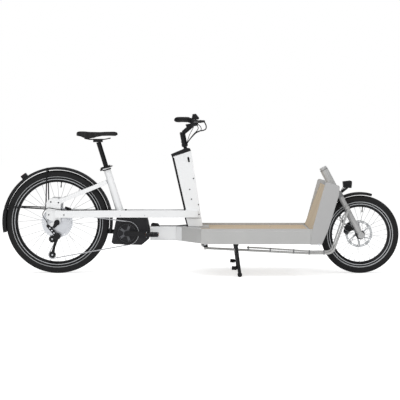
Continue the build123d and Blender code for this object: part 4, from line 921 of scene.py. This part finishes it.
def platform_hardware():
    screws, rivets, gussets = (Shape() for _ in range(3))
    for x in (21, 226, 464, 682):
        for y in (-190, -115, 115, 190):
            screws.turn((x, y, 299.9), UP, [(0, 5), (0.5, 4.8), (0.5, 2.4), (0.1, 2)], 16)
    for side in (1, -1):
        for share in (0.08, 0.36, 0.64, 0.92):
            rise = 300 * share
            out = Vector((cos(WALL_LEAN), 0, -sin(WALL_LEAN)))
            at = Vector((fore(4), side * 232, 304.3)) + Vector((sin(WALL_LEAN), 0, cos(WALL_LEAN))) * rise
            rivets.turn(at + out * 12.1, out, [(0, 4.6), (1, 4.2), (1.6, 2.6)], 14)
            rivets.turn(at - out * 0.1, -out, [(0, 4.6), (0.8, 4.2), (1, 2.2)], 14)
    for y in (259, -251):
        gussets.slab([(fore(0.2), 216.5), (fore(14), 312.8), (fore(0.2), 312.8)], y, 8)
    gussets.piece("rail_end_gussets", "chassis", grey)
    screws.piece("deck_screws", "chassis", steel)
    rivets.piece("wall_rivets", "chassis", steel)


platform_hardware()


def front_end():
    up = Vector((-sin(HEAD_LEAN), 0, cos(HEAD_LEAN)))
    out = Vector((cos(HEAD_LEAN), 0, sin(HEAD_LEAN)))
    hub = Vector((FRONT[0], 0, FRONT[1]))
    cups, forked, lamp, glass, tail, caps, covers, lines, crown_cap = (Shape() for _ in range(9))

    def at(x, y, z):
        """Place on the fork: ahead of the front axle, to the left of it and up, along the fork's own axes."""
        return hub + out * x + Vector((0, y, 0)) + up * z

    axis = hub - out * 10
    for low, high in ((315.5, 319.8), (488.2, 489.8)):
        cups.turn(axis + up * low, up, [(0, 15), (0, 26.8), (0.6, 27.4), (high - low - 0.6, 27.4),
            (high - low, 26.8), (high - low, 15)], 36, closed=True)
    cups.piece("headset_seals", "chassis", black_metal)
    for side in (1, -1):
        caps.turn((hub.x, side * 85.2, hub.z), (0, side, 0), [(0, 21.2), (2, 21.6), (5.6, 20), (7, 16),
            (7, 11.8)], 30)
        caps.nut((hub.x, side * 91.7, hub.z), (0, side, 0), 7.2, 5.2)
        for height in (292.5, 307.5):
            forked.bolt(at(20.2, side * 30, height), out, 3.6, 2.4)
    forked.turn(hub + up * 200 - out * 20 + Vector((-2.2, 63.8, 0)), up,
        [(0, 3.6), (1, 4.2), (7, 4.2), (8, 3.6)], 14)
    for height in (52, 76):
        forked.bolt(at(-41.3, 71.1, height), LEFT, 4, 2.8)
    back = at(-41.3, 0, 63)
    forked.slab(hull_outline((back.x - 12, back.z - 22), 20, (back.x + 4, back.z + 22), 16), 71.6, -5)
    forked.slab(hull_outline((back.x - 16, back.z - 26), 15, (back.x - 2, back.z + 20), 12), 32.8, 4)
    for step in range(5):
        fin = back + up * (-18 + 9 * step) - out * 24.2
        forked.plate(oblong(2.2, 1.8), fin + Vector((0, 34, 0)), out, up, -36)
    forked.turn(at(-37.5, 60, 70.4), (up * 0.88 - out * 0.475).normalized(),
        [(0, 5.2), (3, 5.8), (14, 5), (20, 3.6)], 14)
    forked.piece("fork_hardware", "fork", black_metal)
    caps.piece("fork_end_caps", "fork", fork_grey)
    covers.turn((hub.x, -39, hub.z), RIGHT, [(0, 15), (0, 28), (0.8, 29.5), (6.4, 29.5), (7.4, 28.2),
        (7.8, 15)], 40)
    covers.piece("front_hub_cover", "front_wheel", black_metal)
    for radius, route in ((3.1, ((-47.3, 58, 88.5), (-60, 60, 112), (-48, 61, 133), (-58, 62, 154),
            (-40, 63.5, 182), (-22.2, 63.8, 204), (-20.6, 64.5, 235), (-20, 65, 255), (-20, 65, 268))),
            (2, ((-31, 54, 70), (-38, 55, 90), (-66, 57, 124), (-62, 58, 147), (-46, 60, 166), (-26, 61.5, 196),
            (-21, 60, 232), (-20, 59.5, 266)))):
        lines.tube(rounded_route([at(*place) for place in route]), radius, 10)
    lines.piece("fork_hose_lines", "fork", rubber, replaces="fork_hose")
    crown_cap.turn(axis + up * 489.8, up, [(0, 24.2), (0.5, 24.6), (15, 24.4), (16.6, 22.8), (16.6, 8.5),
        (15, 8), (15, 3)], 36)
    crown_cap.piece("steerer_cap", "fork", fork_grey)
    rim = [(-24, -16), (24, -16), (26, -13), (26, 13), (24, 16), (-24, 16), (-26, 13), (-26, -13)]
    lamp_x = fore(289.6)
    face = Vector((0.9977, 0, -0.068))
    rise = Vector((0.068, 0, 0.9977))
    glass.plate(rim, Vector((lamp_x, 0, 586.2)) + face * 0.1, LEFT, rise, 1.6)
    glass.piece("headlight_lens", "fork", lens)
    for index in range(5):
        z = 573.2 + 6.2 * index
        lamp.plate(oblong(24.5, 0.6), Vector((lamp_x + 0.06 * index, 0, z)) + face * 1.6, LEFT, rise, 0.6)
    for side in (1, -1):
        lamp.tube([(fore(221), side * 13.5, 534.5), (fore(226), side * 17, 548), (fore(238), side * 33, 564),
            (fore(256), side * 33, 576), (fore(262), side * 31.8, 584)], 2.2, 10)
        lamp.turn((fore(262), side * 30, 585), (0, side, 0), [(0, 6.4), (3, 6), (4.2, 4.6), (4.2, 2.4),
            (2.4, 2.2)], 16)
    lamp.piece("headlight_mount", "fork", black_metal)
    tail_angle = radians(126)
    outward, along = around((0, 0), 1, tail_angle), around((0, 0), 1, tail_angle + pi / 2)
    middle = around(REAR, 384.3, tail_angle)
    for index in range(-4, 5):
        tail.plate(oblong(18, 1), middle + along * 3.8 * index + outward * 0.8, LEFT, along, 0.8)
    tail.plate(oblong(19.5, 17.5), middle, LEFT, along, 0.9)
    tail.piece("tail_light_lens", "chassis", red)


front_end()


def derailleur_pieces():
    """Hanger, two-plate linkage, knuckles and the chain cage."""
    hanger, links, cage, silver = (Shape() for _ in range(4))
    axle = (REAR[0], REAR[1])
    upper_pin = (ahead(-53), REAR[1] - 21)
    lower_pin = (ahead(-5), REAR[1] - 80)
    hanger.slab(hull_outline(axle, 14.5, upper_pin, 9.5), -84.5, 5.5)
    links.turn((axle[0] + 4, -90, axle[1] + 1), RIGHT, [(0, 18.5), (4, 18.5), (5.2, 16.5), (5.2, 8), (4, 7.8)],
        24)
    links.slab(hull_outline((axle[0] + 6, axle[1] + 4), 16.5, (axle[0] - 14, axle[1] - 26), 8.5), -90, 4)
    for y, radius in ((-90, 8.2), (-70, 7.4)):
        links.slab(hull_outline(upper_pin, radius + 2.5, lower_pin, radius), y, 3.2)
    for share in (0.22, 0.5, 0.78):
        x = upper_pin[0] + (lower_pin[0] - upper_pin[0]) * share
        z = upper_pin[1] + (lower_pin[1] - upper_pin[1]) * share
        silver.turn((x, -93.4, z), RIGHT, [(0, 5), (1.2, 4.8), (1.8, 3.6)], 14)
    links.turn((lower_pin[0] + 8, -56, lower_pin[1] - 10), RIGHT, [(0, 20), (1, 21.5), (34, 21.5), (36.5, 19.8),
        (37.5, 12), (36.5, 11.5)], 26)
    links.turn((upper_pin[0], -60, upper_pin[1]), RIGHT, [(0, 9.2), (1, 10), (33, 10), (34.5, 8.8), (34.5, 5.2),
        (33, 4.8)], 20)
    shoulder = (lower_pin[0] + 8, lower_pin[1] - 10)
    for y in (CHAIN_Y - 5.8, CHAIN_Y + 7.8):
        cage.slab(hull_outline(shoulder, 15, UPPER_PULLEY, 13.5), y, 2)
        waist = ((UPPER_PULLEY[0] + LOWER_PULLEY[0]) / 2 + 12, (UPPER_PULLEY[1] + LOWER_PULLEY[1]) / 2)
        cage.slab(hull_outline(shoulder, 12.5, waist, 7), y, 2)
        cage.slab(hull_outline(waist, 7, LOWER_PULLEY, 12.5), y, 2)
    for at in (UPPER_PULLEY, LOWER_PULLEY):
        silver.turn((at[0], CHAIN_Y - 7.8, at[1]), RIGHT, [(0, 6), (1.4, 5.8), (2.2, 4.4), (1.2, 3)], 16)
        cage.turn((at[0], CHAIN_Y - 6, at[1]), LEFT, [(0, 3.6), (12, 3.6)], 14)
    wire_end, anchor = Vector((ahead(-64), -92, REAR[1] + 12)), Vector((upper_pin[0], -94, upper_pin[1] + 4))
    pull = anchor - wire_end
    links.turn(wire_end, pull, [(-3, 3), (-2, 3.8), (7.5, 3.8), (8.5, 3), (13, 2.6), (14, 1), (pull.length, 1)],
        14)
    # The hanger takes the darker white paint: painted shade.
    hanger.piece("derailleur_hanger", "chassis", shaded_white_paint)
    links.piece("derailleur_linkage", "chassis", black_metal, replaces="derailleur")
    cage.piece("derailleur_cage", "chassis", black_metal)
    silver.piece("derailleur_pins", "chassis", steel)


derailleur_pieces()


def tower_edging():
    """Black edging where the tower's sides meet its rear strip."""
    edging = Shape()
    outline = [(past(306.5), 765), (past(311.3), 765), (past(388.7), 423), (past(383.9), 423)]
    for y in (54.5, -53.7):
        edging.slab(outline, y, 0.8)
    edging.piece("tower_edging", "chassis", plastic)


tower_edging()


def deck_trim():
    """Cover over the spine's end at the tower's foot, and the strip that closes the deck's front edge."""
    trim = Shape()
    trim.slab([(12.7, 300.4), (12.7, 314.6), (49, 314.6), (53, 313), (56, 308.5), (56, 300.4)], 48.5, 97)
    for side in (1, -1):
        trim.bolt((50, side * 38, 313.8), UP, 3, 1.4)
    trim.slab([(694.5, 300.4), (694.5, 301.4), (695.5, 302), (705.4, 302), (705.4, 300.4)], 229, 458)
    trim.piece("deck_trim", "chassis", grey)


deck_trim()


def stand_pads():
    """Ribbed rubber pads on the stand's two pegs."""
    pads = Shape()
    along = Vector((-46, 0, 4)).normalized()
    for side in (1, -1):
        root = Vector((226 + 25 * 0.8, side * 211, 212 - 197 * 0.8)) + along * 15
        profile = [(0, 6.2), (0, 11.2), (1.6, 13)]
        for rib in range(5):
            profile += [(3.6 + 5.2 * rib, 13), (4.2 + 5.2 * rib, 11.8), (5.6 + 5.2 * rib, 11.8),
                (6.2 + 5.2 * rib, 13)]
        profile += [(30.2, 13), (31.8, 11.2), (31.8, 4)]
        pads.turn(root, along, profile, 24)
    pads.piece("stand_peg_pads", "stand", rubber)


stand_pads()


def stay_lugs():
    """Lugs that join the seat stays to the dropout plates."""
    lugs = Shape()
    outline = hull_outline((ahead(16), 476.6), 16, (ahead(46), 489.6), 16.3)
    for y in (83.8, -76.2):
        lugs.slab(outline, y, 7.6)
    lugs.piece("stay_lugs", "chassis", paint)


stay_lugs()


def rod_conduit():
    """Hose conduit clipped along the front half of the tie rod."""
    pipe, clips = Shape(), Shape()
    route = rounded_route(((300, -143.4, 183.5), (360, -150.5, 182.2), (520, -169.3, 173.8), (696, -190, 164.5),
        (760, -189.5, 164), (816, -186.2, 164), (836.4, -184.5, 170.2), (849.4, -180, 186.5),
        (883.3, -155.1, 277.2), (917.2, -130.2, 367.9), (928, -124, 390), (939.2, -121.6, 403.2)))
    pipe.tube(route, 5.5, 14)
    pipe.piece("tie_rod_conduit", "tie_rod", grey)
    for x in (308, 450, 600, 700, 795):
        part = min(1.0, (x - 33) / 663)
        y, z = -112 - 78 * part, 185 - 35 * part
        clips.plate(hull_outline((y, z), 8.8, (y, z + 14.5), 6.8), (x - 4, 0, 0), LEFT, UP, 8)
    clips.piece("tie_rod_clips", "tie_rod", crown_grey)
    pivot, upward = Vector((31.693, -112, 189.908)), Vector((-0.190809, 0, 0.981627))
    nuts = Shape()
    nuts.nut(pivot + upward * 6.3, upward, 8.5, 6)
    nuts.piece("rod_pivot_nut", "tie_rod", steel)


rod_conduit()


def hoses():
    """Brake hoses with a protective spiral, the gear cable and the display wire, into a guide on the stem."""
    lines, wraps, guide = Shape(), Shape(), Shape()
    for side in (1, -1):
        places = [(471, 180, 1002), (505, 166, 999), (521, 125, 970), (512, 85, 946), (464, 45, 933),
            (424, 28.5, 896), (398, 21.5, 862), (389, 19, 846)]
        route = rounded_route([(past(x), side * y, z) for x, y, z in places])
        lines.tube(route, 3.3, 10)
        for start in range(26, len(route) - 7, 2):
            step = (route[start + 1] - route[start]).normalized()
            wraps.turn(route[start], step, [(0, 3.5), (0.6, 4.4), (3, 4.4), (3.6, 3.5)], 12)
    for radius, places in ((2.5, ((438, -168, 989), (466, -164, 982), (486, -136, 963), (484, -94, 941),
            (450, -48, 922), (416, -26, 888), (398, -14, 858), (394, -10, 846))),
            (2.5, ((420, 150, 999), (448, 146, 984), (468, 118, 962), (462, 78, 942), (436, 40, 914),
            (408, 22, 878), (396, 12, 856), (394, 8, 846))), (2, ((441, 16, 974), (431, 20, 950),
            (414, 18, 918), (400, 8, 880), (394, 2, 856), (393.5, -1, 846)))):
        lines.tube(rounded_route([(past(x), y, z) for x, y, z in places]), radius, 10)
    guide.turn(COLUMN_FOOT + COLUMN * 4, COLUMN, [(0, 18.2), (0, 19.6), (0.8, 20.2), (11.2, 20.2), (12, 19.6),
        (12, 18.2)], 36, closed=True)
    for x, y in ((389, 19), (389, -19), (394, -10), (394, 8)):
        guide.turn(Vector((past(x), y, 844)), COLUMN, [(0, 3), (0.6, 4.8), (10, 4.8), (10.6, 4)], 16)
    lines.piece("control_hose_lines", "handlebar", rubber, replaces="control_hoses")
    wraps.piece("control_hose_wraps", "handlebar", plastic, slot="rubber")
    guide.piece("hose_guide", "handlebar", plastic)


hoses()


def flare_strips():
    """Light lap strips where the flared plates leave the spine, in the darker white that paints shade on them.
    """
    strips = Shape()
    for side in (1, -1):
        start = Vector((1 - 164, side * 40.3, 222))
        end = Vector((1, side * 260, 222))
        along = (end - start).normalized()
        outline = [(3, 0), (62, 0), (64, 2), (64, 88), (62, 90), (3, 90)]
        outward = along.cross(Vector(UP)) * -side
        strips.plate(outline, start + outward * (1.2 if side > 0 else 0.2), along, UP, 1)
    strips.piece("flare_lap_strips", "chassis", shaded_white_paint)


flare_strips()

# --- Stage, light and camera ---

FLOOR_GLOW = 0.57  # share of white that the floor shows by itself to the camera and to reflections


def stage_floor():
    """One wide flat floor that meets the white surround."""
    mesh = bpy.data.meshes.new("floor")
    mesh.from_pydata([(-24, -24, 0), (24, -24, 0), (24, 24, 0), (-24, 24, 0)], [], [(0, 1, 2, 3)])
    floor = bpy.data.objects.new("floor", mesh)
    bpy.context.scene.collection.objects.link(floor)
    white = bpy.data.materials.new("floor_white")
    white.use_nodes = True
    tree = white.node_tree
    shader = tree.nodes["Principled BSDF"]
    feed(tree, shader, {"Base Color": (0.86, 0.86, 0.86, 1), "Roughness": 0.9, "Specular IOR Level": 0.1})
    path = put(tree, "LightPath", {}).outputs
    seen = put(tree, "Math", {0: path["Is Camera Ray"], 1: path["Is Glossy Ray"]}, operation="MAXIMUM")
    share = put(tree, "Math", {0: seen.outputs["Value"], 1: FLOOR_GLOW}, operation="MULTIPLY")
    glow = put(tree, "Emission", {"Strength": share.outputs["Value"]})
    both = put(tree, "AddShader", {0: shader.outputs["BSDF"], 1: glow.outputs["Emission"]})
    feed(tree, tree.nodes["Material Output"], {"Surface": both.outputs["Shader"]})
    mesh.materials.append(white)


def world_light(level):
    """Even white surround, full white where the camera or a ray through glass sees it."""
    world = bpy.data.worlds.new("studio")
    bpy.context.scene.world = world
    world.use_nodes = True
    tree = world.node_tree
    fill = tree.nodes["Background"]
    feed(tree, fill, {"Color": (1, 1, 1, 1), "Strength": level})
    seen = put(tree, "Background", {"Color": (1, 1, 1, 1), "Strength": 1.0})
    path = put(tree, "LightPath", {}).outputs
    either = put(tree, "Math", {0: path["Is Camera Ray"], 1: path["Is Transmission Ray"]}, operation="MAXIMUM")
    mix = put(tree, "MixShader", {0: either.outputs["Value"], 1: fill.outputs["Background"],
                                  2: seen.outputs["Background"]})
    feed(tree, tree.nodes["World Output"], {"Surface": mix.outputs["Shader"]})


def soft_light(name, place, aim, size, power):
    lamp = bpy.data.lights.new(name, "AREA")
    lamp.shape = "RECTANGLE"
    lamp.size, lamp.size_y = size
    lamp.energy = power
    holder = bpy.data.objects.new(name, lamp)
    holder.location = place
    holder.rotation_euler = (Vector(aim) - Vector(place)).to_track_quat("-Z", "Y").to_euler()
    bpy.context.scene.collection.objects.link(holder)


stage_floor()
world_light(0.5)
soft_light("top_light", (0.2, -1.2, 4.2), (0, 0, 0.4), (5.0, 3.0), 118)
soft_light("front_light", (-1.2, -5.2, 2.2), (0, 0, 0.5), (4.0, 2.4), 66)

view = bpy.data.cameras.new("camera")
view.sensor_width = 36
view.lens = 109.35
view.clip_end = 60
camera = bpy.data.objects.new("camera", view)
camera.location = (-0.0055, -8.0, 0.98)
camera.rotation_euler = (radians(90 - 3.55), 0, 0)
bpy.context.scene.collection.objects.link(camera)
bpy.context.scene.camera = camera
bpy.context.scene.view_settings.view_transform = "Standard"

bpy.context.view_layer.update()
